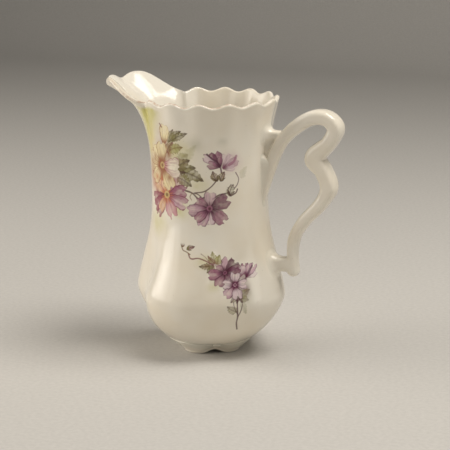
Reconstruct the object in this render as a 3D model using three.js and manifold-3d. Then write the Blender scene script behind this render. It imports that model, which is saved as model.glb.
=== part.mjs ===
// Porcelain jug: a slip-cast body on a four-pad foot, with a serpentine handle luted to neck and belly.
// Millimetres, +Z up. The handle lies along +X and the pouring lip along -X.

import * as THREE from 'three';
import { mergeVertices } from 'three/addons/utils/BufferGeometryUtils.js';
import Module from 'manifold-3d';

const wasm = await Module();
wasm.setup();

const degrees = THREE.MathUtils.degToRad;

// Body profile at the middle of a lobe
const SEAT_HEIGHT = 7;
const SEAT_RADIUS = 25.4;
const BELLY_HEIGHT = 44.7;
const BELLY_RADIUS = 56.4;
const WAIST_HEIGHT = 110;
const WAIST_RADIUS = 40.8;
const RIM_HEIGHT = 177;
const RIM_RADIUS = 47.8;
const WALL = 2.8;
const RIM_EDGE = 2.1;

// Fullness of the profile: how far each curve runs on in its end direction, as a share of its rise or spread
const SEAT_FLARE = 0.52;
const SEAT_SLOPE = 0.155;
const LOWER_BELLY_FULLNESS = 0.24;
const UPPER_BELLY_FULLNESS = 0.14;
const LOWER_WAIST_FULLNESS = 0.39;
const UPPER_WAIST_FULLNESS = 0.445;
const RIM_FLARE = 0.75;
const RIM_SLOPE = 0.28;

// Belly lobes, turned a little from the handle: depth of the valleys at the seat and at their deepest
const LOBE_COUNT = 4;
const SEAT_LOBE_DEPTH = 1;
const LOBE_DEPTH = 6.6;
const DEEPEST_LOBE_HEIGHT = 41;
const LOBE_SHARPNESS = 1.4;
const LOBE_TURN = degrees(14);

// Scalloped rim, with flutes that run down the neck from it
const SCALLOP_COUNT = 11;
const SCALLOP_ANGLE = degrees(25);
const SCALLOP_HEIGHT = 2.8;
const FLUTE_DEPTH = 1.5;
const FLUTE_LENGTH = 42;
const FLUTE_FADE_POWER = 1.5;

// Pouring lip: reach of the tip past the rim, and heights of tip and side lobes above the rim.
// Most of the reach is a slow swell of the neck, and the rest a short curl at the edge.
const LIP_REACH = 27.8;
const LIP_LENGTH = 46;
const LIP_TIP_RISE = 10.5;
const LIP_LOBE_RISE = 12.5;
const LIP_LOBE_ANGLE = degrees(18.3);
const LIP_ROUNDNESS = 1.3;
const LIP_SWELL = 0.45;
const LIP_SWELL_POWER = 2.9;
const LIP_CURL_POWER = 12;

// Foot ring, its pads under the lobes
const FOOT_RADIUS = 21.8;
const FOOT_LOBE = 1.2;
const FOOT_WIDTH = 5;
const PAD_ANGLE = degrees(46);
const ARCH_HEIGHT = 2.2;
const FOOT_SETBACK = 0.8;

// Slip joints
const JOINT_GAP = 0.3;
const LUTE_LAYER = 0.6;
const LUTE_FLARE = 2.6;
const LUTE_LENGTH = 4.5;
const TAIL_LUTE_HEIGHT = 1.6;

// Fall of a lute's flare: share of its length out from the wall, and share of the flare left there
const LUTE_FALL = [[0, 1], [0.5, 0.45], [1, 0.25]];

// Handle: height above the table, stand-off from the wall, half thickness and half depth along the serpentine
const HANDLE_BURIED = 6;
const TAIL_HEIGHT = 101;
const TAIL_PROUD = 1;
const TERMINAL_HEIGHT = 57;
const LEG_STAND_OFF = 12.8;
const LEG_SPLAY = 1.2;
const TERMINAL_TUCK = 2.6;
const HANDLE_GUIDES = [
  [TAIL_HEIGHT, TAIL_PROUD - HANDLE_BURIED, 2.6, 3.2],
  [122, 1.4, 3.6, 4.4],
  [150, 10.7, 4.2, 6.2],
  [165.5, 24.8, 5.2, 7.6],
  [169.5, 34.9, 5.5, 8.0],
  [163, 48.1, 6.4, 8.0],
  [151.5, 45.7, 6.0, 8.0],
  [140.5, 37.4, 6.9, 8.0],
  [131, 43.5, 6.0, 8.0],
  [122, 47.8, 6.3, 8.0],
  [110.5, 42.7, 5.0, 7.6],
  [97.5, 29.5, 4.4, 7.0],
  [85.5, 19.7, 3.8, 6.2],
  [72, LEG_STAND_OFF + LEG_SPLAY, 3.4, 5.6],
  [TERMINAL_HEIGHT, LEG_STAND_OFF - TERMINAL_TUCK, 4.0, 5.2],
];
const BEND_CLEARANCE = 0.85;
const TERMINAL_BLUNTNESS = 0.95;
const GUIDE_BELOW_SPUR = 2;
const SPUR_HEIGHT = 155.5;
const SPUR_THICKNESS = 3.2;
const SPUR_DEPTH = 4.6;
const STRUT_HEIGHT = 66.5;
const STRUT_THICKNESS = 4.2;
const STRUT_DEPTH = 4.8;

// Facets
const SCALLOP_STEPS = 6;
const LIP_STEPS = 22;
const OUTER_ROWS = 28;
const INNER_ROWS = 20;
const ROW_CROWDING = 1.35;
const FOOT_STEPS = 80;
const HANDLE_STEPS = 64;
const SECTION_SIDES = 14;

const LIP_HALF_ANGLE = Math.PI - SCALLOP_COUNT * SCALLOP_ANGLE / 2;
const porcelain = { color: 0xf2eee4, roughness: 0.12, metalness: 0 };
const slip = { color: 0xefeadf, roughness: 0.2, metalness: 0 };

/** Meridian of the wall from the seat on the foot up to the rim: x is the radius, y the height. */
const profile = new THREE.CurvePath();
const belly = new THREE.Vector2(BELLY_RADIUS, BELLY_HEIGHT);
const waist = new THREE.Vector2(WAIST_RADIUS, WAIST_HEIGHT);
const bellyRise = BELLY_HEIGHT - SEAT_HEIGHT;
const waistRise = WAIST_HEIGHT - BELLY_HEIGHT;
const neckRise = RIM_HEIGHT - WAIST_HEIGHT;
const overhang = BELLY_RADIUS - SEAT_RADIUS;
const neckSpread = RIM_RADIUS - WAIST_RADIUS;
profile.add(new THREE.CubicBezierCurve(
  new THREE.Vector2(SEAT_RADIUS, SEAT_HEIGHT),
  new THREE.Vector2(SEAT_RADIUS + SEAT_FLARE * overhang, SEAT_HEIGHT + SEAT_SLOPE * bellyRise),
  new THREE.Vector2(BELLY_RADIUS, BELLY_HEIGHT - LOWER_BELLY_FULLNESS * bellyRise),
  belly,
));
profile.add(new THREE.CubicBezierCurve(
  belly,
  new THREE.Vector2(BELLY_RADIUS, BELLY_HEIGHT + UPPER_BELLY_FULLNESS * waistRise),
  new THREE.Vector2(WAIST_RADIUS, WAIST_HEIGHT - LOWER_WAIST_FULLNESS * waistRise),
  waist,
));
profile.add(new THREE.CubicBezierCurve(
  waist,
  new THREE.Vector2(WAIST_RADIUS, WAIST_HEIGHT + UPPER_WAIST_FULLNESS * neckRise),
  new THREE.Vector2(RIM_RADIUS - RIM_FLARE * neckSpread, RIM_HEIGHT - RIM_SLOPE * neckRise),
  new THREE.Vector2(RIM_RADIUS, RIM_HEIGHT),
));

/** Radius of the wall at a height, at the middle of a lobe. */
function radiusAt(height) {
  let low = 0;
  let high = 1;
  for (let i = 0; i < 40; i += 1) {
    const middle = (low + high) / 2;
    if (profile.getPoint(middle).y < height) low = middle;
    else high = middle;
  }
  return profile.getPoint(low).x;
}

/** Share from 0 to 1 of the way up the last stretch of the neck, counted back from the rim. */
function neckShare(height, stretch) {
  return THREE.MathUtils.clamp((height - RIM_HEIGHT + stretch) / stretch, 0, 1);
}

/** Depth of the valley between two lobes, deepest on the lower belly and gone at the waist. */
function lobeValley(height, angle) {
  const deepening = THREE.MathUtils.smoothstep(height, SEAT_HEIGHT, DEEPEST_LOBE_HEIGHT);
  const fading = 1 - THREE.MathUtils.smoothstep(height, DEEPEST_LOBE_HEIGHT, WAIST_HEIGHT);
  const wave = (1 - Math.cos(LOBE_COUNT * (angle + LOBE_TURN))) / 2;
  return THREE.MathUtils.lerp(SEAT_LOBE_DEPTH, LOBE_DEPTH, deepening) * fading * wave ** LOBE_SHARPNESS;
}

/** Reach outwards and rise of the rim in one direction, counted from the handle. */
function rimShape(angle) {
  const fromLip = Math.PI - Math.abs(angle);
  if (fromLip >= LIP_HALF_ANGLE) {
    const wave = Math.cos(2 * Math.PI * angle / SCALLOP_ANGLE);
    return { flute: wave * FLUTE_DEPTH / 2, lip: 0, rise: wave * SCALLOP_HEIGHT / 2 };
  }
  const share = fromLip / LIP_HALF_ANGLE;
  const lip = LIP_REACH * Math.cos(share * Math.PI / 2) ** LIP_ROUNDNESS;
  const toLobe = THREE.MathUtils.smoothstep(fromLip, 0, LIP_LOBE_ANGLE);
  const toEnd = THREE.MathUtils.smoothstep(fromLip, LIP_LOBE_ANGLE, LIP_HALF_ANGLE);
  const lobe = THREE.MathUtils.lerp(LIP_TIP_RISE, LIP_LOBE_RISE, toLobe);
  const rise = THREE.MathUtils.lerp(lobe, -SCALLOP_HEIGHT / 2, toEnd);
  return { flute: -share * FLUTE_DEPTH / 2, lip, rise };
}

/** Share of the lip's full reach at a share of its length. */
function lipShare(share) {
  return LIP_SWELL * share ** LIP_SWELL_POWER + (1 - LIP_SWELL) * share ** LIP_CURL_POWER;
}

/** Point of the outer wall, as radius and height, at a share of the profile and a direction. */
function wallPoint(share, angle) {
  const point = profile.getPoint(share);
  const rim = rimShape(angle);
  const fluted = neckShare(point.y, FLUTE_LENGTH) ** FLUTE_FADE_POWER;
  const lipped = lipShare(neckShare(point.y, LIP_LENGTH));
  return new THREE.Vector2(
    point.x - lobeValley(point.y, angle) + rim.flute * fluted + rim.lip * lipped,
    point.y + rim.rise * lipped,
  );
}

/** Directions of the mesh columns: an even number in each scallop and across the lip. */
function columnAngles() {
  const angles = [];
  const start = -SCALLOP_COUNT * SCALLOP_ANGLE / 2;
  const scallopColumns = SCALLOP_COUNT * SCALLOP_STEPS;
  for (let i = 0; i < scallopColumns; i += 1) angles.push(start + i * SCALLOP_ANGLE / SCALLOP_STEPS);
  for (let i = 0; i < LIP_STEPS; i += 1) angles.push(-start + i * 2 * LIP_HALF_ANGLE / LIP_STEPS);
  return angles.map((angle) => (angle > Math.PI ? angle - 2 * Math.PI : angle));
}

function aroundAxis(radius, angle, height) {
  return new THREE.Vector3(radius * Math.cos(angle), radius * Math.sin(angle), height);
}

/** Closed skin over a row of rings; the ends are capped with fans, or the last ring joins the first. */
function skin(rings, joined = false) {
  const sides = rings[0].length;
  const points = rings.flat();
  const faces = [];
  const quads = joined ? rings.length : rings.length - 1;
  for (let i = 0; i < quads; i += 1) {
    const next = (i + 1) % rings.length;
    for (let k = 0; k < sides; k += 1) {
      const side = (k + 1) % sides;
      const a = i * sides + k;
      const b = i * sides + side;
      const c = next * sides + side;
      const d = next * sides + k;
      faces.push(a, b, c, a, c, d);
    }
  }
  if (!joined) {
    const last = (rings.length - 1) * sides;
    const capStart = points.push(middleOf(rings[0])) - 1;
    const capEnd = points.push(middleOf(rings[rings.length - 1])) - 1;
    for (let k = 0; k < sides; k += 1) {
      const side = (k + 1) % sides;
      faces.push(capStart, side, k);
      faces.push(capEnd, last + k, last + side);
    }
  }
  const geometry = new THREE.BufferGeometry().setFromPoints(points);
  geometry.setIndex(faces);
  return facingOut(geometry);
}

function middleOf(ring) {
  const sum = new THREE.Vector3();
  for (const point of ring) sum.add(point);
  return sum.divideScalar(ring.length);
}

/** Turns every face over if the enclosed volume comes out negative. */
function facingOut(geometry) {
  const at = geometry.attributes.position;
  const index = geometry.index.array;
  const corner = [new THREE.Vector3(), new THREE.Vector3(), new THREE.Vector3()];
  let volume = 0;
  for (let i = 0; i < index.length; i += 3) {
    corner.forEach((point, k) => point.fromBufferAttribute(at, index[i + k]));
    volume += corner[0].dot(corner[1].cross(corner[2]));
  }
  if (volume < 0) {
    for (let i = 0; i < index.length; i += 3) [index[i], index[i + 1]] = [index[i + 1], index[i]];
  }
  return geometry;
}

function toSolid(geometry) {
  const bare = geometry.clone();
  bare.deleteAttribute('normal');
  bare.deleteAttribute('uv');
  const merged = mergeVertices(bare, 1e-4);
  return new wasm.Manifold(new wasm.Mesh({
    numProp: 3,
    vertProperties: new Float32Array(merged.attributes.position.array),
    triVerts: new Uint32Array(merged.index.array),
  }));
}

function toGeometry(solid) {
  const mesh = solid.getMesh();
  const geometry = new THREE.BufferGeometry();
  geometry.setAttribute('position', new THREE.BufferAttribute(new Float32Array(mesh.vertProperties), 3));
  geometry.setIndex(new THREE.BufferAttribute(new Uint32Array(mesh.triVerts), 1));
  return geometry;
}

/** Outward normal of the wall in the plane of one meridian. */
function wallNormal(share, angle) {
  const step = 1e-3;
  const above = wallPoint(Math.min(share + step, 1), angle);
  const below = wallPoint(Math.max(share - step, 0), angle);
  const along = above.sub(below).normalize();
  return new THREE.Vector2(along.y, -along.x);
}

/** Wall point moved inwards along the wall's normal. */
function insetPoint(share, angle, inset) {
  return wallPoint(share, angle).addScaledVector(wallNormal(share, angle), -inset);
}

function wallThickness(share) {
  const height = profile.getPoint(share).y;
  return THREE.MathUtils.lerp(WALL, RIM_EDGE, neckShare(height, LIP_LENGTH));
}

/** Ring of the wall at one share of the profile, moved in or out along the wall's normal. */
function wallRing(angles, share, inset) {
  return angles.map((angle) => {
    const point = insetPoint(share, angle, inset);
    return aroundAxis(point.x, angle, point.y);
  });
}

/** Crest that rounds the rim over between the outer and the inner wall. */
function crestRing(angles) {
  return angles.map((angle) => {
    const normal = wallNormal(1, angle);
    const crest = insetPoint(1, angle, RIM_EDGE / 2);
    crest.x -= normal.y * RIM_EDGE / 2;
    crest.y += normal.x * RIM_EDGE / 2;
    return aroundAxis(crest.x, angle, crest.y);
  });
}

/** Shares of the profile for the rows of a wall, closer together towards the rim. */
function rowShares(rows) {
  return Array.from({ length: rows + 1 }, (unused, i) => 1 - (1 - i / rows) ** ROW_CROWDING);
}

function bodyGeometry() {
  const angles = columnAngles();
  const outside = rowShares(OUTER_ROWS).map((share) => wallRing(angles, share, 0));
  const inside = rowShares(INNER_ROWS).map((share) => wallRing(angles, share, wallThickness(share)));
  return skin([...outside, crestRing(angles), ...inside.reverse()]);
}

/** The body filled in and grown all round. */
function grownBody(growth) {
  const angles = columnAngles();
  return toSolid(skin(rowShares(OUTER_ROWS).map((share) => wallRing(angles, share, -growth))));
}

/** Share from 0 on a pad to 1 at the crown of the arch between two pads. */
function archShare(angle) {
  const pitch = 2 * Math.PI / LOBE_COUNT;
  const turned = angle + LOBE_TURN;
  const fromPad = Math.abs(turned - pitch * Math.round(turned / pitch));
  const spare = (pitch - PAD_ANGLE) / 2;
  return THREE.MathUtils.clamp((fromPad - PAD_ANGLE / 2) / spare, 0, 1);
}

function footGeometry() {
  const top = SEAT_HEIGHT - LUTE_LAYER - 2 * JOINT_GAP;
  const angles = Array.from({ length: FOOT_STEPS }, (unused, i) => 2 * Math.PI * i / FOOT_STEPS);
  const ring = (radius, height) => angles.map((angle) => aroundAxis(radius(angle), angle, height(angle)));
  const seat = (angle) => SEAT_RADIUS - lobeValley(SEAT_HEIGHT, angle) - FOOT_SETBACK;
  const pad = (angle) => FOOT_RADIUS + FOOT_LOBE * Math.cos(LOBE_COUNT * (angle + LOBE_TURN));
  const bottom = (angle) => ARCH_HEIGHT * Math.sin(archShare(angle) * Math.PI / 2);
  const swell = (angle) => (seat(angle) + pad(angle)) / 2 + FOOT_LOBE / 2;
  return skin([
    ring(seat, () => top),
    ring(swell, (angle) => (top + bottom(angle)) / 2),
    ring(pad, bottom),
    ring((angle) => pad(angle) - FOOT_WIDTH, bottom),
    ring((angle) => pad(angle) - FOOT_WIDTH, () => top),
  ], true);
}

/** Thin flat layer of slip between the foot ring and the underside of the body. */
function footLuteGeometry() {
  const angles = Array.from({ length: FOOT_STEPS }, (unused, i) => 2 * Math.PI * i / FOOT_STEPS);
  const low = SEAT_HEIGHT - JOINT_GAP - LUTE_LAYER;
  const high = SEAT_HEIGHT - JOINT_GAP;
  const outer = (angle) => SEAT_RADIUS - lobeValley(SEAT_HEIGHT, angle) - 2 * FOOT_SETBACK;
  const inner = () => FOOT_RADIUS - FOOT_WIDTH + FOOT_LOBE;
  const ring = (radius, height) => angles.map((angle) => aroundAxis(radius(angle), angle, height));
  return skin([ring(outer, low), ring(outer, high), ring(inner, high), ring(inner, low)], true);
}

/** Oval section across a direction in the handle's XZ plane, with its own half thickness on either side. */
function section(centre, along, ahead, behind, depth) {
  const across = new THREE.Vector3(along.z, 0, -along.x);
  return Array.from({ length: SECTION_SIDES }, (unused, i) => {
    const turn = 2 * Math.PI * i / SECTION_SIDES;
    const thickness = Math.cos(turn) > 0 ? ahead : behind;
    return centre.clone()
      .addScaledVector(across, thickness * Math.cos(turn))
      .add(new THREE.Vector3(0, depth * Math.sin(turn), 0));
  });
}

const handleLine = new THREE.CatmullRomCurve3(
  HANDLE_GUIDES.map(([height, standOff]) => new THREE.Vector3(radiusAt(height) + standOff, 0, height)),
);

/** Half thickness and half depth of the handle at a share of its line, between its guides. */
function handleSection(share) {
  const place = share * (HANDLE_GUIDES.length - 1);
  const from = Math.min(Math.floor(place), HANDLE_GUIDES.length - 2);
  const [, , thickness, depth] = HANDLE_GUIDES[from]
    .map((value, i) => THREE.MathUtils.lerp(value, HANDLE_GUIDES[from + 1][i], place - from));
  return { thickness, depth };
}

/** Signed bend of the handle's line at a share of it: one over the radius, positive when it turns across. */
function handleBend(share) {
  const step = 0.5 / HANDLE_STEPS;
  const before = handleLine.getTangent(Math.max(share - step, 0));
  const after = handleLine.getTangent(Math.min(share + step, 1));
  const way = handleLine.getPoint(Math.min(share + step, 1)).distanceTo(
    handleLine.getPoint(Math.max(share - step, 0)));
  return (before.z * after.x - before.x * after.z) / way;
}

/** Serpentine of the handle, rounded over at its free terminal, with room added all round. */
function serpentine(room) {
  const length = handleLine.getLength();
  const rings = [];
  for (let i = 0; i <= HANDLE_STEPS; i += 1) {
    const share = i / HANDLE_STEPS;
    const { thickness, depth } = handleSection(share);
    const left = (1 - share) * length;
    const rounding = Math.sqrt(1 - THREE.MathUtils.clamp(1 - left / thickness, 0, TERMINAL_BLUNTNESS) ** 2);
    const bend = handleBend(share);
    const limit = BEND_CLEARANCE / Math.max(Math.abs(bend), 1e-6);
    const inner = Math.min(thickness * rounding + room, limit);
    const outer = thickness * rounding + room;
    rings.push(section(
      handleLine.getPoint(share), handleLine.getTangent(share),
      bend > 0 ? inner : outer, bend > 0 ? outer : inner, depth * rounding + room));
  }
  return toSolid(skin(rings));
}

/** Short arm from inside the wall out to the serpentine. */
function arm(height, reach, thickness, depth, room) {
  const start = new THREE.Vector3(radiusAt(height) - HANDLE_BURIED, 0, height);
  const outwards = new THREE.Vector3(1, 0, 0);
  const length = HANDLE_BURIED + reach;
  const half = thickness + room;
  const rings = [0, length].map((distance) => section(
    start.clone().addScaledVector(outwards, distance), outwards, half, half, depth + room));
  return toSolid(skin(rings));
}

/** Where the serpentine's line passes a height on its way along one of its stretches. */
function standOffAt(height, guide) {
  const from = HANDLE_GUIDES[guide];
  const to = HANDLE_GUIDES[guide + 1];
  return THREE.MathUtils.mapLinear(height, from[0], to[0], from[1], to[1]);
}

const spurReach = standOffAt(SPUR_HEIGHT, GUIDE_BELOW_SPUR);

function handleSolid(room) {
  return serpentine(room)
    .add(arm(SPUR_HEIGHT, spurReach, SPUR_THICKNESS, SPUR_DEPTH, room))
    .add(arm(STRUT_HEIGHT, LEG_STAND_OFF, STRUT_THICKNESS, STRUT_DEPTH, room));
}

/** Flared fillet of slip round an arm of the handle where it meets the wall. */
function luteSolid(height, thickness, depth, growth = 0) {
  const start = new THREE.Vector3(radiusAt(height) - HANDLE_BURIED, 0, height);
  const outwards = new THREE.Vector3(1, 0, 0);
  const ring = (distance, flare) => {
    const room = JOINT_GAP + LUTE_FLARE * flare + growth;
    const centre = start.clone().addScaledVector(outwards, distance);
    return section(centre, outwards, thickness + room, thickness + room, depth + room);
  };
  const fall = LUTE_FALL.map(([share, flare]) => ring(HANDLE_BURIED + LUTE_LENGTH * share, flare));
  return toSolid(skin([ring(0, 1), ...fall]));
}

/** Low bead of slip along both sides of the tail and round its end, where it lies on the wall. */
function tailLuteSolid() {
  return serpentine(JOINT_GAP + LUTE_FLARE)
    .intersect(grownBody(JOINT_GAP + TAIL_LUTE_HEIGHT))
    .subtract(luteSolid(SPUR_HEIGHT, SPUR_THICKNESS, SPUR_DEPTH, JOINT_GAP));
}

/** The largest of a solid's separate bodies. */
function largestBody(solid) {
  return solid.decompose().reduce((best, body) => (body.volume() > best.volume() ? body : best));
}

function piece(name, geometry, finish) {
  geometry.computeVertexNormals();
  const mesh = new THREE.Mesh(geometry, new THREE.MeshStandardMaterial(finish));
  mesh.name = name;
  return mesh;
}

const cutter = grownBody(JOINT_GAP);
const roomyHandle = handleSolid(JOINT_GAP);
const fitted = (solid) => toGeometry(largestBody(solid.subtract(cutter)));
const luted = (solid) => toGeometry(largestBody(solid.subtract(cutter).subtract(roomyHandle)));

const jug = new THREE.Group();
jug.add(
  piece('jug_body', bodyGeometry(), porcelain),
  piece('foot_ring', footGeometry(), porcelain),
  piece('foot_lute', footLuteGeometry(), slip),
  piece('handle', fitted(handleSolid(0)), porcelain),
  piece('upper_handle_lute', luted(luteSolid(SPUR_HEIGHT, SPUR_THICKNESS, SPUR_DEPTH)), slip),
  piece('tail_lute', luted(tailLuteSolid()), slip),
  piece('lower_handle_lute', luted(luteSolid(STRUT_HEIGHT, STRUT_THICKNESS, STRUT_DEPTH)), slip),
);

// The origin lies on the table, under the middle of the jug's box from lip to handle.
const box = new THREE.Box3().setFromObject(jug);
jug.position.x = -(box.min.x + box.max.x) / 2;

export default jug;
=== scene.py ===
import logging
import math
from dataclasses import dataclass, field
from enum import Enum
from typing import ClassVar

import bpy
import numpy as np
from mathutils import Matrix, Vector


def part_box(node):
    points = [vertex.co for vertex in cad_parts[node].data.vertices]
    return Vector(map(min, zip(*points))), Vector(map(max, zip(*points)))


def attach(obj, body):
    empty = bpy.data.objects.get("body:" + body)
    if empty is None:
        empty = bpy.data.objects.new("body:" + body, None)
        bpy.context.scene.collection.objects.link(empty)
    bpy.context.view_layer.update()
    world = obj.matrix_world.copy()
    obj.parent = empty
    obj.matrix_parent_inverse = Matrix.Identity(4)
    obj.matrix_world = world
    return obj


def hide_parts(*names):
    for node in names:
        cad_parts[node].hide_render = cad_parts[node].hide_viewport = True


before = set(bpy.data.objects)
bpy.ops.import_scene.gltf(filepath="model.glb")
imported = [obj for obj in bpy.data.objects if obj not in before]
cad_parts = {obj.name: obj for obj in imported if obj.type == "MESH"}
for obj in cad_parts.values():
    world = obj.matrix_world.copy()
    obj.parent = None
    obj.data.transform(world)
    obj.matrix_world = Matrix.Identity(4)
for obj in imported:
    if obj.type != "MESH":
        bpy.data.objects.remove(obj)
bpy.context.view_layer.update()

LOG = logging.getLogger("porcelain_jug")

# Sizes are millimetres about the jug's own axis; MM and axis_x() turn them into the frame's metres.
MM = 0.001
# Keeps a place in a table short of its last row, so that there is always a next row to mix with.
LAST_CELL = 1.001
IMAGE_SIZE = 450
BODY = "root"

Array = np.ndarray
# Place in the photograph's frame, first and last value, and values across and up or out and up.
Pixel = tuple[float, float]
Span = tuple[float, float]
Pair = tuple[float, float]
# Height, half thickness and half depth of an arm of the handle.
Arm = tuple[float, float, float]
# Height, distance from the axis, half thickness and half depth of the serpentine.
Guide = tuple[float, float, float, float]
# Pitch of a noise in millimetres, and its lowest and highest value.
Grain = tuple[float, float, float]
Colour = tuple[float, float, float, float]
BLACK: Colour = (0.0, 0.0, 0.0, 1.0)


class Slot(Enum):
    """Material slots of the record."""

    PORCELAIN = "glazed_porcelain"
    SLIP = "slip_joint"


class Mark(Enum):
    """Values kept on each point of a mesh for the finishes to read."""

    WEAR = "wear"
    BARE = "bare"
    POOL = "pool"
    INK = "ink"


def linear(code: str) -> Colour:
    """Turns an sRGB hex colour into a linear one.

    Args:
        code: Colour such as "#F2EEE4".

    Returns:
        Linear red, green, blue and an alpha of one.
    """
    parts = [int(code[i:i + 2], 16) / 255 for i in (1, 3, 5)]
    red, green, blue = [p / 12.92 if p <= 0.04045 else ((p + 0.055) / 1.055) ** 2.4 for p in parts]
    return red, green, blue, 1.0


def smoothstep(value: Array, low: float, high: float) -> Array:
    """Smooth rise from 0 at low to 1 at high."""
    share = np.clip((value - low) / (high - low), 0.0, 1.0)
    return share * share * (3.0 - 2.0 * share)


def mix(start: Array | float, end: Array | float, share: Array | float) -> Array:
    """Straight mix of two values."""
    return start + (end - start) * share


def soft_line(value: Array, width: float) -> Array:
    """Bell that is 1 where a value is zero and fades within a width."""
    return np.exp(-(value / width) ** 2)


def turned_back(angle: Array) -> Array:
    """The same direction, counted from half a turn back to half a turn on."""
    return (angle + math.pi) % (2 * math.pi) - math.pi


def axis_x() -> float:
    """Place of the jug's own axis along X in the frame, in metres: the middle of the foot ring."""
    low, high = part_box("foot_ring")
    return (low.x + high.x) / 2


def add_node(tree: bpy.types.NodeTree, kind: str, values: dict | None = None, links: dict | None = None,
             ramp: list | None = None, **settings: object) -> bpy.types.Node:
    """Adds one shader node with its settings and links.

    Args:
        tree: Node tree of the material or world.
        kind: Blender's name of the node type.
        values: Constants by input socket.
        links: Output sockets by the input socket that they feed.
        ramp: Stops of a colour ramp, as place and linear colour.
        settings: Properties of the node itself.

    Returns:
        The new node.
    """
    node = tree.nodes.new(kind)
    for name, value in settings.items():
        setattr(node, name, value)
    for socket, value in (values or {}).items():
        node.inputs[socket].default_value = value
    for socket, source in (links or {}).items():
        tree.links.new(source, node.inputs[socket])
    for index, (place, colour) in enumerate(ramp or []):
        stops = node.color_ramp.elements
        stop = stops[index] if index < len(stops) else stops.new(place)
        stop.position = place
        stop.color = colour
    return node


def new_material(name: str) -> tuple[bpy.types.Material, bpy.types.NodeTree, bpy.types.NodeSocket]:
    """Makes a node material that holds nothing yet but the place of each point.

    Args:
        name: Name of the material.

    Returns:
        The material, its node tree and the position socket.
    """
    material = bpy.data.materials.new(name)
    material.use_nodes = True
    tree = material.node_tree
    tree.nodes.clear()
    return material, tree, add_node(tree, "ShaderNodeNewGeometry").outputs["Position"]


def make_piece(name: str, points: Array, faces: list, marks: dict[Mark, Array] | None = None,
               crisp: int = 0) -> bpy.types.Object:
    """Makes a smooth mesh object from points about the jug's axis.

    Args:
        name: Name of the piece.
        points: Points in millimetres, one row each.
        faces: Corner indexes of each face.
        marks: Values for each point, one number or one colour each.
        crisp: How many of the last faces are shaded flat, such as the cut edge of a film.

    Returns:
        The object, in the frame's metres.
    """
    placed = np.asarray(points, float) * MM
    placed[:, 0] += axis_x()
    mesh = bpy.data.meshes.new(name)
    mesh.from_pydata(placed.tolist(), [], faces)
    smooth = len(faces) - crisp
    mesh.polygons.foreach_set("use_smooth", [True] * smooth + [False] * crisp)
    for mark, values in (marks or {}).items():
        if values.ndim == 2:
            layer = mesh.color_attributes.new(mark.value, "FLOAT_COLOR", "POINT")
            layer.data.foreach_set("color", values.astype(np.float32).ravel())
        else:
            layer = mesh.attributes.new(mark.value, "FLOAT", "POINT")
            layer.data.foreach_set("value", values.astype(np.float32))
    mesh.update()
    piece = bpy.data.objects.new(name, mesh)
    bpy.context.scene.collection.objects.link(piece)
    return piece


def settle(piece: bpy.types.Object, finish: bpy.types.Material, slot: Slot, *nodes: str) -> None:
    """Dresses a piece, names the nodes it stands for, and puts it on the body.

    Args:
        piece: The piece.
        finish: Its material.
        slot: The record's slot; not used.
        nodes: CAD nodes that the piece stands for.
    """
    piece.data.materials.clear()
    piece.data.materials.append(finish)
    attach(piece, BODY)
    if nodes:
        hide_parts(*nodes)
    stands_for = ", ".join(nodes) or "no node"
    LOG.info("%s: %d faces, stands for %s", piece.name, len(piece.data.polygons), stands_for)


def through(knots: Array, share: Array) -> Array:
    """Smooth centripetal curve through knots.

    Args:
        knots: Points that the curve passes, one row each.
        share: Shares of the way from the first knot to the last, counted by knots.

    Returns:
        Points of the curve, one row for each share.
    """
    ends = np.vstack([2 * knots[0] - knots[1], knots, 2 * knots[-1] - knots[-2]])
    place = np.clip(share, 0.0, 1.0) * (len(knots) - 1)
    at = np.minimum(place.astype(int), len(knots) - 2)
    part = (place - at)[:, None]
    before, start, end, after = (ends[at + i] for i in range(4))
    gap0, gap1, gap2 = (np.linalg.norm(b - a, axis=1)[:, None] ** 0.5
                        for a, b in ((before, start), (start, end), (end, after)))
    leave = ((start - before) / gap0 - (end - before) / (gap0 + gap1) + (end - start) / gap1) * gap1
    arrive = ((end - start) / gap1 - (after - start) / (gap1 + gap2) + (after - end) / gap2) * gap1
    return (start + leave * part + (3 * (end - start) - 2 * leave - arrive) * part ** 2
            + (2 * (start - end) + leave + arrive) * part ** 3)


def loft(rings: Array, joined: bool = False) -> tuple[Array, list]:
    """Skin over a row of closed rings, with fans over both ends unless the last ring joins the first.

    Args:
        rings: Points by ring, by place in the ring.
        joined: Whether the skin closes on itself.

    Returns:
        Points, and faces that look outwards when the rings run anticlockwise and upwards.
    """
    count, sides = rings.shape[:2]
    points = rings.reshape(-1, 3)
    faces = []
    for i in range(count if joined else count - 1):
        after = (i + 1) % count
        for k in range(sides):
            turn = (k + 1) % sides
            faces.append((i * sides + k, i * sides + turn, after * sides + turn, after * sides + k))
    if not joined:
        last = (count - 1) * sides
        points = np.vstack([points, rings[0].mean(axis=0), rings[-1].mean(axis=0)])
        for k in range(sides):
            turn = (k + 1) % sides
            faces.append((count * sides, turn, k))
            faces.append((count * sides + 1, last + k, last + turn))
    return points, faces


def around(radius: Array, angle: Array, height: Array) -> Array:
    """Points about the axis, stacked in the last dimension."""
    return np.stack(np.broadcast_arrays(radius * np.cos(angle), radius * np.sin(angle), height), axis=-1)


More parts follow.
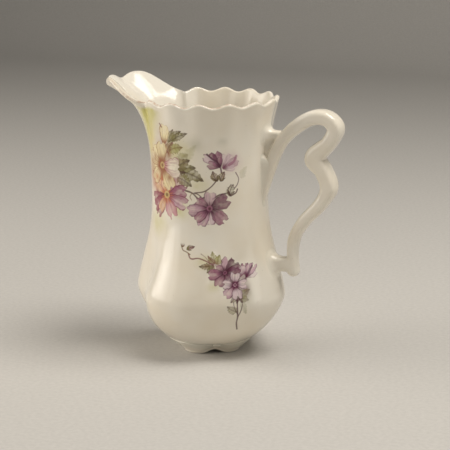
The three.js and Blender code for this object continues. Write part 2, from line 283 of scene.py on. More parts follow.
@dataclass(frozen=True)
class BodyForm:
    """Form of the slip-cast body, in millimetres and degrees."""

    seat: Pair = (25.4, 7.0)
    belly: Pair = (55.5, 42.4)
    waist: Pair = (40.8, 110.0)
    rim: Pair = (47.8, 177.0)
    wall: float = 2.8
    rim_edge: float = 3.0
    seat_flare: float = 0.6
    seat_slope: float = 0.21
    lower_belly_fullness: float = 0.22
    upper_belly_fullness: float = 0.135
    lower_waist_fullness: float = 0.46
    upper_waist_fullness: float = 0.445
    rim_flare: float = 0.75
    rim_slope: float = 0.28
    lobe_count: int = 4
    seat_lobe_depth: float = 1.0
    lobe_depth: float = 8.7
    deepest_lobe_height: float = 42.6
    lobe_sharpness: float = 1.86
    lobe_turn: float = 10.8
    lobe_lean: float = 0.34
    lean_middle: float = 40.0
    lean_end: float = 70.0
    scallop_count: int = 11
    scallop_angle: float = 25.0
    scallop_height: float = 2.8
    flute_depth: float = 1.5
    flute_length: float = 42.0
    flute_fade_power: float = 1.5
    lip_reach: float = 27.8
    lip_length: float = 46.0
    lip_tip_rise: float = 10.5
    lip_lobe_rise: float = 12.5
    lip_lobe_angle: float = 18.3
    lip_dip: float = 3.0
    lip_dip_angle: float = 8.0
    lip_dip_width: float = 4.2
    lip_roundness: float = 0.8
    lip_swell: float = 0.45
    lip_swell_power: float = 2.9
    lip_curl_power: float = 12.0
    curve_steps: int = 240
    handle_side_angle: float = 36.0
    handle_side_step: float = 1.0
    level_step: float = 0.5
    search_rounds: int = 6
    least_square: float = 1.0
    profile: Array = field(init=False)
    lengths: Array = field(init=False)

    def __post_init__(self) -> None:
        """Works out the meridian once, with its length from the seat at each point."""
        line = self._meridian()
        steps = np.linalg.norm(np.diff(line, axis=0), axis=1)
        object.__setattr__(self, "profile", line)
        object.__setattr__(self, "lengths", np.concatenate([[0.0], np.cumsum(steps)]))

    def _meridian(self) -> Array:
        """Meridian from seat to rim, at the middle of a lobe.

        Returns:
            Rows of radius and height.
        """
        seat, belly, waist, rim = (np.array(p) for p in (self.seat, self.belly, self.waist, self.rim))
        up = np.array([0.0, 1.0])
        lower, middle, upper = belly[1] - seat[1], waist[1] - belly[1], rim[1] - waist[1]
        flare = np.array([self.seat_flare * (belly[0] - seat[0]), self.seat_slope * lower])
        spread = np.array([self.rim_flare * (rim[0] - waist[0]), self.rim_slope * upper])
        curves = [
            (seat, seat + flare, belly - up * self.lower_belly_fullness * lower, belly),
            (belly, belly + up * self.upper_belly_fullness * middle,
             waist - up * self.lower_waist_fullness * middle, waist),
            (waist, waist + up * self.upper_waist_fullness * upper, rim - spread, rim),
        ]
        share = np.linspace(0.0, 1.0, self.curve_steps)[:, None]
        rest = 1.0 - share
        parts = [rest ** 3 * a + 3 * rest ** 2 * share * b + 3 * rest * share ** 2 * c + share ** 3 * d
                 for a, b, c, d in curves]
        return np.vstack([parts[0], parts[1][1:], parts[2][1:]])

    @property
    def length(self) -> float:
        """Length of the meridian."""
        return float(self.lengths[-1])

    @property
    def lip_half_angle(self) -> float:
        """Half of the angle that the lip takes out of the scalloped rim, in radians."""
        return math.pi - math.radians(self.scallop_count * self.scallop_angle / 2)

    def meridian(self, share: Array) -> tuple[Array, Array]:
        """Radius and height at a share of the meridian's length."""
        way = share * self.length
        return tuple(np.interp(way, self.lengths, values) for values in self.profile.T)

    def neck_share(self, height: Array, stretch: float) -> Array:
        """Share of the way up the last stretch of the neck."""
        return np.clip((height - self.rim[1] + stretch) / stretch, 0.0, 1.0)

    def lobe_valley(self, height: Array, angle: Array) -> Array:
        """Depth of the valleys between the lobes, gone at the waist.

        Args:
            height: Height above the table.
            angle: Direction counted from the handle, in radians.

        Returns:
            Depth in millimetres.
        """
        deepening = smoothstep(height, self.seat[1], self.deepest_lobe_height)
        fading = 1.0 - smoothstep(height, self.deepest_lobe_height, self.waist[1])
        past_middle = np.minimum(height, self.lean_end) - self.lean_middle
        lean = np.radians(self.lobe_turn - self.lobe_lean * past_middle)
        wave = (1.0 - np.cos(self.lobe_count * (angle + lean))) / 2
        return mix(self.seat_lobe_depth, self.lobe_depth, deepening) * fading * wave ** self.lobe_sharpness

    def rim_shape(self, angle: Array) -> tuple[Array, Array, Array]:
        """Form of the rim by direction.

        Args:
            angle: Direction counted from the handle, in radians.

        Returns:
            Reach of the flutes, reach of the lip, and rise of the edge.
        """
        turned = turned_back(angle)
        from_lip = math.pi - np.abs(turned)
        on_lip = from_lip < self.lip_half_angle
        wave = np.cos(2 * math.pi * turned / math.radians(self.scallop_angle))
        share = np.clip(from_lip / self.lip_half_angle, 0.0, 1.0)
        reach = self.lip_reach * np.cos(share * math.pi / 2).clip(0.0) ** self.lip_roundness
        lobe_at = math.radians(self.lip_lobe_angle)
        lobe = mix(self.lip_tip_rise, self.lip_lobe_rise, smoothstep(from_lip, 0.0, lobe_at))
        from_dip = from_lip - math.radians(self.lip_dip_angle)
        lobe = lobe - self.lip_dip * soft_line(from_dip, math.radians(self.lip_dip_width))
        rise = mix(lobe, -self.scallop_height / 2, smoothstep(from_lip, lobe_at, self.lip_half_angle))
        flute = np.where(on_lip, -share, wave) * self.flute_depth / 2
        return flute, np.where(on_lip, reach, 0.0), np.where(on_lip, rise, wave * self.scallop_height / 2)

    def outside(self, share: Array, angle: Array) -> tuple[Array, Array]:
        """Outer wall with its lobes, flutes and lip.

        Args:
            share: Share of the meridian's length, from the seat.
            angle: Direction counted from the handle, in radians.

        Returns:
            Radius and height.
        """
        radius, height = self.meridian(share)
        flute, reach, rise = self.rim_shape(angle)
        fluted = self.neck_share(height, self.flute_length) ** self.flute_fade_power
        way = self.neck_share(height, self.lip_length)
        swell, curl = way ** self.lip_swell_power, way ** self.lip_curl_power
        lipped = self.lip_swell * swell + (1 - self.lip_swell) * curl
        lobed = radius - self.lobe_valley(height, angle)
        return lobed + flute * fluted + reach * lipped, height + rise * lipped

    def normal(self, share: Array, angle: Array) -> tuple[Array, Array]:
        """Outward normal of the wall in the plane of a meridian.

        Args:
            share: Share of the meridian's length, from the seat.
            angle: Direction counted from the handle, in radians.

        Returns:
            Its parts outwards and upwards.
        """
        step = 1e-3
        radius_up, height_up = self.outside(np.minimum(share + step, 1.0), angle)
        radius_down, height_down = self.outside(np.maximum(share - step, 0.0), angle)
        along, up = radius_up - radius_down, height_up - height_down
        size = np.hypot(along, up)
        return up / size, -along / size

    def offset(self, share: Array, angle: Array, out: Array | float) -> Array:
        """Points at a distance from the wall.

        Args:
            share: Share of the meridian's length, from the seat.
            angle: Direction counted from the handle, in radians.
            out: Distance outside the wall, or inside it where negative.

        Returns:
            Points about the axis.
        """
        radius, height = self.outside(share, angle)
        normal_out, normal_up = self.normal(share, angle)
        return around(radius + normal_out * out, angle, height + normal_up * out)

    def wall_x(self, across: Array, height: Array) -> Array:
        """Where the wall on the handle's side stands along X.

        Args:
            across: Distance from the handle's plane.
            height: Height above the table.

        Returns:
            X of the outer wall, counted from the axis.
        """
        shares = np.linspace(0.0, 1.0, self.curve_steps * 2)
        reach, step = self.handle_side_angle, self.handle_side_step
        angles = np.radians(np.arange(-reach, reach + step / 2, step))
        levels = np.arange(self.seat[1], self.rim[1], self.level_step)
        table = np.stack([np.interp(levels, *self.outside(shares, a)[::-1]) for a in angles], axis=1)
        x = np.full(np.shape(across), self.waist[0])
        row = np.clip((height - levels[0]) / self.level_step, 0, len(levels) - LAST_CELL)
        low = row.astype(int)
        for _ in range(self.search_rounds):
            column = (np.arctan2(across, x) - angles[0]) / (angles[1] - angles[0])
            column = np.clip(column, 0, len(angles) - LAST_CELL)
            left = column.astype(int)
            near = mix(table[low, left], table[low, left + 1], column - left)
            far = mix(table[low + 1, left], table[low + 1, left + 1], column - left)
            radius = mix(near, far, row - low)
            x = np.sqrt(np.maximum(radius ** 2 - across ** 2, self.least_square))
        return x


@dataclass(frozen=True)
class GlazedPorcelain:
    """Slip-cast hard porcelain under a clear fired glaze.

    It gives the eye a warm white with bright, soft-edged highlights that waver where the glaze is uneven,
    cooler tones where it pooled, a few specks, a rubbed edge along the rim and bare biscuit where the foot
    stood in the kiln.
    """

    name: str = "glazed_slip_cast_porcelain"
    white: str = "#EFE9DC"
    warm: str = "#EBE2D0"
    pooled: str = "#D9DACD"
    speck: str = "#8A7761"
    rubbed: str = "#BC9578"
    biscuit: str = "#D8D0C2"
    roughness: float = 0.13
    biscuit_roughness: float = 0.62
    ior: float = 1.52
    cloud_mm: float = 34.0
    cloud_detail: float = 3.0
    cloud_span: Span = (0.38, 0.66)
    ripple_mm: float = 11.0
    ripple_detail: float = 1.5
    ripple_roughness: float = 0.4
    ripple_height_mm: float = 0.11
    ripple_strength: float = 0.5
    speck_mm: float = 5.5
    speck_amount: float = 0.5
    speck_span: Span = (0.018, 0.05)
    wear_mm: float = 2.4
    wear_detail: float = 4.0
    wear_span: Span = (0.36, 0.72)

    def material(self, inked: bool = False) -> bpy.types.Material:
        """Builds the node material.

        Args:
            inked: Whether the printed colours of a transfer lie over the glaze.

        Returns:
            The material.
        """
        material, tree, place = new_material(f"{self.name}_with_transfer" if inked else self.name)
        colour, roughness = self._glaze(tree, place)
        if inked:
            ink = add_node(tree, "ShaderNodeAttribute", attribute_name=Mark.INK.value)
            colour = add_node(tree, "ShaderNodeMix", data_type="RGBA", links={
                "Factor": ink.outputs["Alpha"], "A": colour, "B": ink.outputs["Color"]}).outputs["Result"]
        ripple = add_node(tree, "ShaderNodeTexNoise", links={"Vector": place}, values={
            "Scale": 1 / (self.ripple_mm * MM), "Detail": self.ripple_detail,
            "Roughness": self.ripple_roughness})
        bump = add_node(tree, "ShaderNodeBump", links={"Height": ripple.outputs["Fac"]}, values={
            "Strength": self.ripple_strength, "Distance": self.ripple_height_mm * MM})
        shader = add_node(tree, "ShaderNodeBsdfPrincipled", values={"IOR": self.ior}, links={
            "Base Color": colour, "Roughness": roughness, "Normal": bump.outputs["Normal"]})
        add_node(tree, "ShaderNodeOutputMaterial", links={"Surface": shader.outputs["BSDF"]})
        return material

    def _glaze(self, tree: bpy.types.NodeTree,
               place: bpy.types.NodeSocket) -> tuple[bpy.types.NodeSocket, bpy.types.NodeSocket]:
        """Colour and roughness of the glaze, with its clouds, pools, specks, rubbed rim and bare foot.

        Args:
            tree: Node tree of the material.
            place: Position socket.

        Returns:
            Colour socket and roughness socket.
        """
        clouds = add_node(tree, "ShaderNodeTexNoise", links={"Vector": place}, values={
            "Scale": 1 / (self.cloud_mm * MM), "Detail": self.cloud_detail})
        tint = add_node(tree, "ShaderNodeValToRGB", links={"Fac": clouds.outputs["Fac"]}, ramp=[
            (self.cloud_span[0], linear(self.white)),
            (self.cloud_span[1], linear(self.warm))]).outputs["Color"]
        specks = add_node(tree, "ShaderNodeTexVoronoi", links={"Vector": place}, values={
            "Scale": 1 / (self.speck_mm * MM), "Randomness": 1.0})
        grey = (self.speck_amount, self.speck_amount, self.speck_amount, 1.0)
        dot = add_node(tree, "ShaderNodeValToRGB", links={"Fac": specks.outputs["Distance"]}, ramp=[
            (self.speck_span[0], grey), (self.speck_span[1], BLACK)]).outputs["Color"]
        patches = add_node(tree, "ShaderNodeTexNoise", links={"Vector": place}, values={
            "Scale": 1 / (self.wear_mm * MM), "Detail": self.wear_detail})
        marks = {mark: add_node(tree, "ShaderNodeAttribute", attribute_name=mark.value).outputs["Fac"]
                 for mark in (Mark.POOL, Mark.WEAR, Mark.BARE)}
        worn = add_node(tree, "ShaderNodeMapRange", links={"Value": patches.outputs["Fac"]}, values={
            "From Min": self.wear_span[0], "From Max": self.wear_span[1]}).outputs["Result"]
        rubbed = add_node(tree, "ShaderNodeMath", operation="MULTIPLY",
                          links={0: marks[Mark.WEAR], 1: worn}).outputs["Value"]
        layers = [(marks[Mark.POOL], self.pooled), (dot, self.speck), (rubbed, self.rubbed),
                  (marks[Mark.BARE], self.biscuit)]
        for amount, code in layers:
            tint = add_node(tree, "ShaderNodeMix", data_type="RGBA", values={"B": linear(code)},
                            links={"Factor": amount, "A": tint}).outputs["Result"]
        matt = add_node(tree, "ShaderNodeMapRange", links={"Value": marks[Mark.BARE]}, values={
            "To Min": self.roughness, "To Max": self.biscuit_roughness}).outputs["Result"]
        return tint, matt


@dataclass
class Vessel:
    """The slip-cast body: outer wall, rounded rim, inner wall and floor."""

    form: BodyForm
    scallop_columns: int = 18
    lip_columns: int = 64
    outer_rows: int = 120
    inner_rows: int = 70
    crest_rows: int = 9
    floor_rows: int = 10
    floor_middle: float = 0.04
    floor_dish: float = 0.8
    under_shares: tuple[float, ...] = (0.05, 0.35, 0.7, 0.95)
    row_crowding: float = 1.3
    wear_reach: float = 1.0
    wear_fullness: float = 1.25
    least_wear: float = 0.15
    wear_span: Span = (0.1, 0.9)
    bead: float = 3.0
    bead_angle: float = 5.0
    bead_share: float = 0.972
    bead_lift: float = 0.9

    def angles(self) -> Array:
        """Directions of the mesh columns, even within the scallops and within the lip.

        Returns:
            Directions counted from the handle, in radians.
        """
        count = self.form.scallop_count
        half = math.radians(count * self.form.scallop_angle) / 2
        scallops = np.linspace(-half, half, count * self.scallop_columns, endpoint=False)
        lip = np.linspace(half, 2 * math.pi - half, self.lip_columns, endpoint=False)
        return np.concatenate([scallops, lip])

    def _shares(self, rows: int) -> Array:
        """Shares of the meridian for the rows of a wall, closer together towards the rim."""
        return 1 - (1 - np.linspace(0.0, 1.0, rows + 1)) ** self.row_crowding

    def _bead(self, angles: Array) -> Array:
        """How far the edge rolls outwards at the tip of the lip, to catch the drip."""
        from_lip = math.pi - np.abs(turned_back(angles))
        return self.bead * soft_line(from_lip, math.radians(self.bead_angle))

    def _crest(self, angles: Array) -> Array:
        """Half-round rows that carry the outer wall over the rim into the inner one.

        Args:
            angles: Directions of the mesh columns.

        Returns:
            Points by row and column.
        """
        form = self.form
        bead = self._bead(angles)
        half = (form.rim_edge + bead) / 2
        share = np.ones_like(angles)
        normal_out, normal_up = form.normal(share, angles)
        radius, height = form.outside(share, angles)
        radius = radius + normal_out * bead
        height = height + normal_up * bead + self.bead_lift * bead / self.bead
        rows = []
        for turn in np.linspace(0.0, math.pi, self.crest_rows + 2)[1:-1]:
            inward, over = half * (1 - math.cos(turn)), half * math.sin(turn)
            rows.append(around(radius - normal_out * inward - normal_up * over, angles,
                               height - normal_up * inward + normal_out * over))
        return np.stack(rows)

    def _floor(self, ring: Array) -> Array:
        """Rows that run in from the inner wall to the middle, dished a little.

        Args:
            ring: Lowest ring of the inner wall.

        Returns:
            Points by row and column.
        """
        centre = ring.mean(axis=0)
        rows = []
        for share in np.linspace(1.0, self.floor_middle, self.floor_rows + 1)[1:]:
            row = mix(centre, ring, share)
            row[:, 2] -= self.floor_dish * (1 - share ** 2)
            rows.append(row)
        return np.stack(rows)

    def build(self) -> bpy.types.Object:
        """Builds the body's mesh.

        Returns:
            The piece.
        """
        form = self.form
        angles = self.angles()
        outer, inner = self._shares(self.outer_rows), self._shares(self.inner_rows)
        rolled = self._bead(angles)[None] * smoothstep(outer, self.bead_share, 1.0)[:, None]
        outside = form.offset(outer[:, None], angles[None], rolled)
        thickness = mix(form.wall, form.rim_edge, form.neck_share(form.meridian(inner)[1], form.lip_length))
        inside = form.offset(inner[:, None], angles[None], -thickness[:, None])[::-1]
        crest = self._crest(angles)
        base = outside[0]
        under = np.stack([mix(base.mean(axis=0), base, share) for share in self.under_shares])
        rings = np.concatenate([under, outside, crest, inside, self._floor(inside[-1])])
        edge = crest[self.crest_rows // 2]
        gap = np.linalg.norm(rings - edge[None], axis=2)
        # The rim is rubbed most on the side with the sprays.
        facing = mix(self.least_wear, 1.0, smoothstep(-np.sin(angles), *self.wear_span))
        wear = np.clip(self.wear_fullness - gap / self.wear_reach, 0.0, 1.0) * facing
        points, faces = loft(rings)
        ends = np.zeros(2)
        return make_piece("vessel", points, faces, {Mark.WEAR: np.concatenate([wear.ravel(), ends])})

    def dress(self, glaze: bpy.types.Material) -> None:
        """Builds the body and glazes it."""
        settle(self.build(), glaze, Slot.PORCELAIN, "jug_body")


@dataclass
class Foot:
    """Low foot ring with four pads, and the layer of slip that bonds it to the body."""

    form: BodyForm
    radius: float = 21.8
    lobe: float = 1.2
    width: float = 5.0
    pad_angle: float = 34.0
    pad_turn: float = 14.0
    arch_height: float = 2.9
    setback: float = 0.8
    joint_gap: float = 0.3
    lute_layer: float = 0.6
    edge_round: float = 1.6
    collar: float = 31.6
    columns: int = 240
    flare_rows: int = 12
    round_rows: int = 5
    bare_span: Span = (0.15, 0.55)
    pool: float = 0.35
    pool_span: Span = (4.2, 6.0)
    lute_rows: int = 7
    lute_hollow: float = 0.45
    lute_overlap: float = 0.05
    lute_edge: Span = (-0.25, 0.1)
    lute_pool: float = 0.4

    def _angles(self) -> Array:
        """Directions of the mesh columns."""
        return np.linspace(0.0, 2 * math.pi, self.columns, endpoint=False)

    def _seat(self, angles: Array) -> Array:
        """Radius of the seat under the body."""
        return self.form.seat[0] - self._valley(angles) - self.setback

    def _valley(self, angles: Array) -> Array:
        """Depth of the valleys between the body's lobes at the seat."""
        return self.form.lobe_valley(np.full_like(angles, self.form.seat[1]), angles)

    def _from_pads(self, angles: Array) -> Array:
        """Directions counted from the middle of a pad."""
        return angles + math.radians(self.pad_turn)

    def _pad(self, angles: Array) -> Array:
        """Radius of the pads' outer edge."""
        return self.radius + self.lobe * np.cos(self.form.lobe_count * self._from_pads(angles))

    def _bottom(self, angles: Array) -> Array:
        """Height of the underside: flat on the pads and arched between them.

        Args:
            angles: Directions of the mesh columns.

        Returns:
            Height in each direction.
        """
        pitch = 2 * math.pi / self.form.lobe_count
        turned = self._from_pads(angles)
        from_pad = np.abs(turned - pitch * np.round(turned / pitch))
        return self.arch_height * smoothstep(from_pad, math.radians(self.pad_angle) / 2, pitch / 2)

    def _collar(self, angles: Array) -> tuple[Array, float]:
        """Radius at which the foot flares out against the body, and the height of the underside there."""
        lower = self.form.profile[:self.form.curve_steps]
        return self.collar - self._valley(angles), float(np.interp(self.collar, lower[:, 0], lower[:, 1]))

    def build_ring(self) -> bpy.types.Object:
        """Builds the foot ring: flared against the body, rounded on its pads and bare where it stood.

        Returns:
            The piece.
        """
        angles = self._angles()
        seat, pad, bottom = self._seat(angles), self._pad(angles), self._bottom(angles)
        collar, underside = self._collar(angles)
        top = np.full_like(angles, self.form.seat[1] - self.lute_layer - 2 * self.joint_gap)
        rows = [around(seat, angles, top)]
        for share in np.linspace(0.0, 1.0, self.flare_rows):
            height = mix(underside - self.lute_layer, bottom + self.edge_round, share)
            rows.append(around(mix(pad, collar, 1 - share), angles, height))
        turns = np.linspace(0.0, math.pi / 2, self.round_rows + 1)
        for turn in turns[1:]:
            reach = self.edge_round * (1 - math.cos(turn))
            rows.append(around(pad - reach, angles, bottom + self.edge_round * (1 - math.sin(turn))))
        inner = pad - self.width
        for turn in turns:
            reach = self.edge_round * (1 - math.sin(turn))
            rows.append(around(inner + reach, angles, bottom + self.edge_round * (1 - math.cos(turn))))
        rows.append(around(inner, angles, top))
        points, faces = loft(np.stack(rows), joined=True)
        faces = [face[::-1] for face in faces]
        bare = 1.0 - smoothstep(points[:, 2], *self.bare_span)
        pool = self.pool * smoothstep(points[:, 2], *self.pool_span)
        return make_piece("foot", points, faces, {Mark.BARE: bare, Mark.POOL: pool})

    def build_lute(self) -> bpy.types.Object:
        """Builds the slip layer between foot and body, drawn in to a hollow along its edge.

        Returns:
            The piece.
        """
        angles = self._angles()
        overlap = self.lute_overlap
        low = self.form.seat[1] - 2 * self.joint_gap - self.lute_layer - overlap
        high = self.form.seat[1] + overlap
        outer, (collar, underside) = self._seat(angles), self._collar(angles)
        inner = self._pad(angles) - self.width + self.lobe
        rows = [around(outer, angles, low)]
        for share in np.linspace(0.0, 1.0, self.lute_rows):
            hollow = self.lute_hollow * math.sin(math.pi * share)
            height = underside + overlap - (self.lute_layer + 2 * overlap) * (1 - share)
            rows.append(around(collar + mix(*self.lute_edge, share) - hollow, angles, height))
        rows += [around(outer, angles, high), around(inner, angles, high), around(inner, angles, low)]
        points, faces = loft(np.stack(rows), joined=True)
        pool = np.full(len(points), self.lute_pool)
        return make_piece("foot_slip_joint", points, faces, {Mark.POOL: pool})

    def dress(self, glaze: bpy.types.Material) -> None:
        """Builds the foot and its slip layer and glazes them."""
        settle(self.build_ring(), glaze, Slot.PORCELAIN, "foot_ring")
        settle(self.build_lute(), glaze, Slot.SLIP, "foot_lute")


@dataclass
class Handle:
    """Serpentine handle with its spur and strut, and the slip fillets that bond it to the body."""

    form: BodyForm
    guides: tuple[Guide, ...] = (
        (101.0, 36.4, 2.6, 3.2),
        (122.0, 42.3, 3.6, 4.4),
        (150.0, 53.3, 4.2, 6.2),
        (165.5, 69.8, 5.0, 7.2),
        (169.6, 80.4, 5.2, 7.6),
        (168.3, 88.0, 5.2, 7.6),
        (162.4, 93.0, 5.3, 7.6),
        (153.4, 89.2, 5.2, 7.6),
        (141.3, 78.4, 6.9, 7.6),
        (132.6, 84.6, 5.6, 7.6),
        (121.6, 88.6, 5.6, 7.6),
        (110.5, 83.3, 4.7, 7.2),
        (97.5, 71.4, 4.4, 7.0),
        (85.5, 64.1, 3.8, 6.2),
        (72.0, 62.4, 3.4, 5.6),
        (57.0, 63.6, 4.0, 5.2),
    )
    spur: Arm = (155.5, 3.2, 4.6)
    strut: Arm = (65.4, 5.1, 5.6)
    web: Arm = (147.0, 9.5, 2.4)
    web_knee: float = 2.0
    web_reach: float = 6.5
    spur_reach: float = 16.0
    strut_reach: float = 13.0
    buried: float = 1.3
    tail_start: float = 0.6
    terminal_end: float = 0.985
    squareness: float = 3.1
    steps: int = 320
    sides: int = 48
    voxel: float = 0.55
    easing: int = 12
    ease_factor: float = 0.5
    flare: float = 5.5
    flare_follow: float = 1.6
    flare_rows: int = 12
    reach_rows: int = 8
    slip_lift: float = 0.9
    fillet_rows: int = 12
    fillet_overlap: float = 0.35
    fillet_sink: float = 0.03
    fillet_thickness: float = 1.2
    fillet_drop: float = 0.4
    fillet_depth: float = 0.6
    fillet_edge: float = 0.3
    fillet_pool: float = 0.15
    tail_share: float = 0.2
    tail_steps: int = 400
    tail_rows: int = 120
    tail_columns: int = 80
    tail_blend: float = 3.0
    tail_span: Span = (97.0, 143.0)
    tail_fade: float = 10.0
    tail_half_width: float = 10.5
    tail_fall: float = 4.0
    tail_sink: float = 0.04
    tail_end_sink: float = 0.1
    tail_depth: float = 0.7
    tail_pool: float = 0.2

    def line(self, share: Array) -> Array:
        """Rows of radius and height of the centre line, at shares of the way from tail to terminal."""
        return through(np.array([[guide[1], guide[0]] for guide in self.guides]), share)

    def _wall(self, height: float) -> float:
        """Radius of the wall at a height, at the middle of a lobe."""
        return float(np.interp(height, self.form.profile[:, 1], self.form.profile[:, 0]))

    def _section(self, thickness: Array, depth: Array) -> tuple[Array, Array]:
        """Section of the handle: an oval with slightly flattened faces, so that soft ridges run along it.

        Args:
            thickness: Half thickness for each ring.
            depth: Half depth for each ring.

        Returns:
            Offsets in the plane of the handle and across it, by ring and side.
        """
        turn = np.linspace(0.0, 2 * math.pi, self.sides, endpoint=False)
        power = 2 / self.squareness
        flat, deep = np.cos(turn), np.sin(turn)
        return (thickness[:, None] * np.sign(flat) * np.abs(flat) ** power,
                depth[:, None] * np.sign(deep) * np.abs(deep) ** power)

    def _tube(self, centre: Array, thickness: Array, depth: Array) -> tuple[Array, list]:
        """Skin along a centre line in the handle's plane.

        Args:
            centre: Rows of distance from the axis and height.
            thickness: Half thickness at each row.
            depth: Half depth at each row.

        Returns:
            Points and faces.
        """
        along = np.gradient(centre, axis=0)
        along /= np.linalg.norm(along, axis=1)[:, None]
        in_plane, across = self._section(thickness, depth)
        out = centre[:, :1] + along[:, 1:] * in_plane
        up = centre[:, 1:] - along[:, :1] * in_plane
        return loft(np.stack([out, across, up], axis=-1))

    def _sizes(self, share: Array) -> tuple[Array, Array]:
        """Sizes of the section along the line, eased between the guides.

        Args:
            share: Share of the way from the tail to the terminal.

        Returns:
            Half thickness and half depth.
        """
        place = share * (len(self.guides) - 1)
        at = np.minimum(place.astype(int), len(self.guides) - 2)
        sizes = np.array(self.guides)[:, 2:]
        eased = mix(sizes[at], sizes[at + 1], smoothstep(place - at, 0.0, 1.0)[:, None])
        return eased[:, 0], eased[:, 1]

    def _serpentine(self) -> tuple[Array, list]:
        """Skin of the serpentine from where its tail leaves the wall to its rounded terminal.

        Returns:
            Points and faces.
        """
        share = np.linspace(0.0, 1.0, self.steps)
        centre = self.line(share)
        thickness, depth = self._sizes(share)
        proud = centre[:, 0] + thickness - np.array([self._wall(h) for h in centre[:, 1]])
        first = int(np.argmax(proud > -self.tail_start))
        way = np.concatenate([[0.0], np.cumsum(np.linalg.norm(np.diff(centre, axis=0), axis=1))])
        left = way[-1] - way
        rounding = np.sqrt(1 - np.clip(1 - left / thickness, 0.0, self.terminal_end) ** 2)
        return self._tube(centre[first:], (thickness * rounding)[first:], (depth * rounding)[first:])

    def _ring(self, arm: Arm, lift: float, wider: float) -> Array:
        """Ring round an arm at a lift from the wall, following the wall where it is near it.

        Args:
            arm: Height, half thickness and half depth of the arm.
            lift: Distance from the wall.
            wider: How much thicker and deeper than the arm the ring is.

        Returns:
            Points of the ring.
        """
        height, thickness, depth = arm
        in_plane, across = self._section(np.array([thickness + wider]), np.array([depth + wider]))
        across, up = across[0], height + in_plane[0]
        near = 1.0 - smoothstep(np.array(lift), 0.0, self.flare * self.flare_follow)
        x = mix(self._wall(height), self.form.wall_x(across, up), near) + lift
        return np.stack([x, across, up], axis=-1)

    def _widening(self, lift: float) -> float:
        """How much wider the flare is at a lift from the wall: a quarter circle that runs out on it."""
        rest = max(self.flare - lift, 0.0)
        return self.flare - math.sqrt(self.flare ** 2 - rest ** 2)

    def _arm(self, arm: Arm, reach: float) -> tuple[Array, list]:
        """Skin of a short arm from within the wall out into the serpentine, flared towards the wall.

        Args:
            arm: Height, half thickness and half depth of the arm.
            reach: How far it reaches from the wall.

        Returns:
            Points and faces.
        """
        flared = np.linspace(self.slip_lift, self.flare, self.flare_rows)
        straight = np.linspace(self.flare, reach, self.reach_rows)[1:]
        rings = [self._ring(arm, lift, self._widening(max(lift, self.slip_lift)))
                 for lift in (-self.buried, *flared, *straight)]
        return loft(np.stack(rings))

    def _web(self) -> tuple[Array, list]:
        """Skin of the thin web that closes the corner between spur, tail and wall."""
        lifts = (-self.buried, self.web_knee, self.web_reach)
        return loft(np.stack([self._ring(self.web, lift, 0.0) for lift in lifts]))

    def build_handle(self) -> bpy.types.Object:
        """Builds the handle as one casting: serpentine, spur, strut and web fused and eased into each other.

        Returns:
            The piece.
        """
        points, faces = [], []
        for part_points, part_faces in (self._serpentine(), self._arm(self.spur, self.spur_reach),
                                        self._arm(self.strut, self.strut_reach), self._web()):
            shift = sum(len(p) for p in points)
            points.append(part_points)
            faces += [tuple(i + shift for i in face) for face in part_faces]
        piece = make_piece("serpentine_handle", np.vstack(points), faces)
        fuse = piece.modifiers.new("fuse", "REMESH")
        fuse.mode = "VOXEL"
        fuse.voxel_size = self.voxel * MM
        ease = piece.modifiers.new("ease", "SMOOTH")
        ease.factor = self.ease_factor
        ease.iterations = self.easing
        fused = bpy.data.meshes.new_from_object(piece.evaluated_get(bpy.context.evaluated_depsgraph_get()))
        piece.modifiers.clear()
        piece.data = fused
        self._trim(fused)
        return piece

    def _trim(self, mesh: bpy.types.Mesh) -> None:
        """Keeps what is buried within the thickness of the wall.

        Args:
            mesh: Mesh of the fused handle.
        """
        places = np.empty(len(mesh.vertices) * 3, np.float32)
        mesh.vertices.foreach_get("co", places)
        places = places.reshape(-1, 3)
        wall = self.form.wall_x(places[:, 1] / MM, places[:, 2] / MM)
        places[:, 0] = np.maximum(places[:, 0], (wall - self.buried) * MM + axis_x())
        mesh.vertices.foreach_set("co", places.ravel())
        mesh.polygons.foreach_set("use_smooth", [True] * len(mesh.polygons))
        mesh.update()

    def build_fillet(self, name: str, arm: Arm) -> bpy.types.Object:
        """Builds the slip fillet round an arm, where its flare runs out on the wall.

        Args:
            name: Name of the piece.
            arm: Height, half thickness and half depth of the arm.

        Returns:
            The piece.
        """
        lifts = np.linspace(0.0, 1.0, self.fillet_rows) ** 2 * (self.slip_lift + self.fillet_overlap)
        rows = [self._ring(arm, lift - self.fillet_sink, self._widening(lift)) for lift in lifts]
        inner = self._widening(lifts[-1]) - self.fillet_thickness
        rows += [self._ring(arm, lifts[-1] - self.fillet_drop, inner),
                 self._ring(arm, -self.fillet_depth, inner),
                 self._ring(arm, -self.fillet_depth, self._widening(0.0) - self.fillet_edge)]
        points, faces = loft(np.stack(rows), joined=True)
        pool = np.full(len(points), self.fillet_pool)
        return make_piece(name, points, [face[::-1] for face in faces], {Mark.POOL: pool})

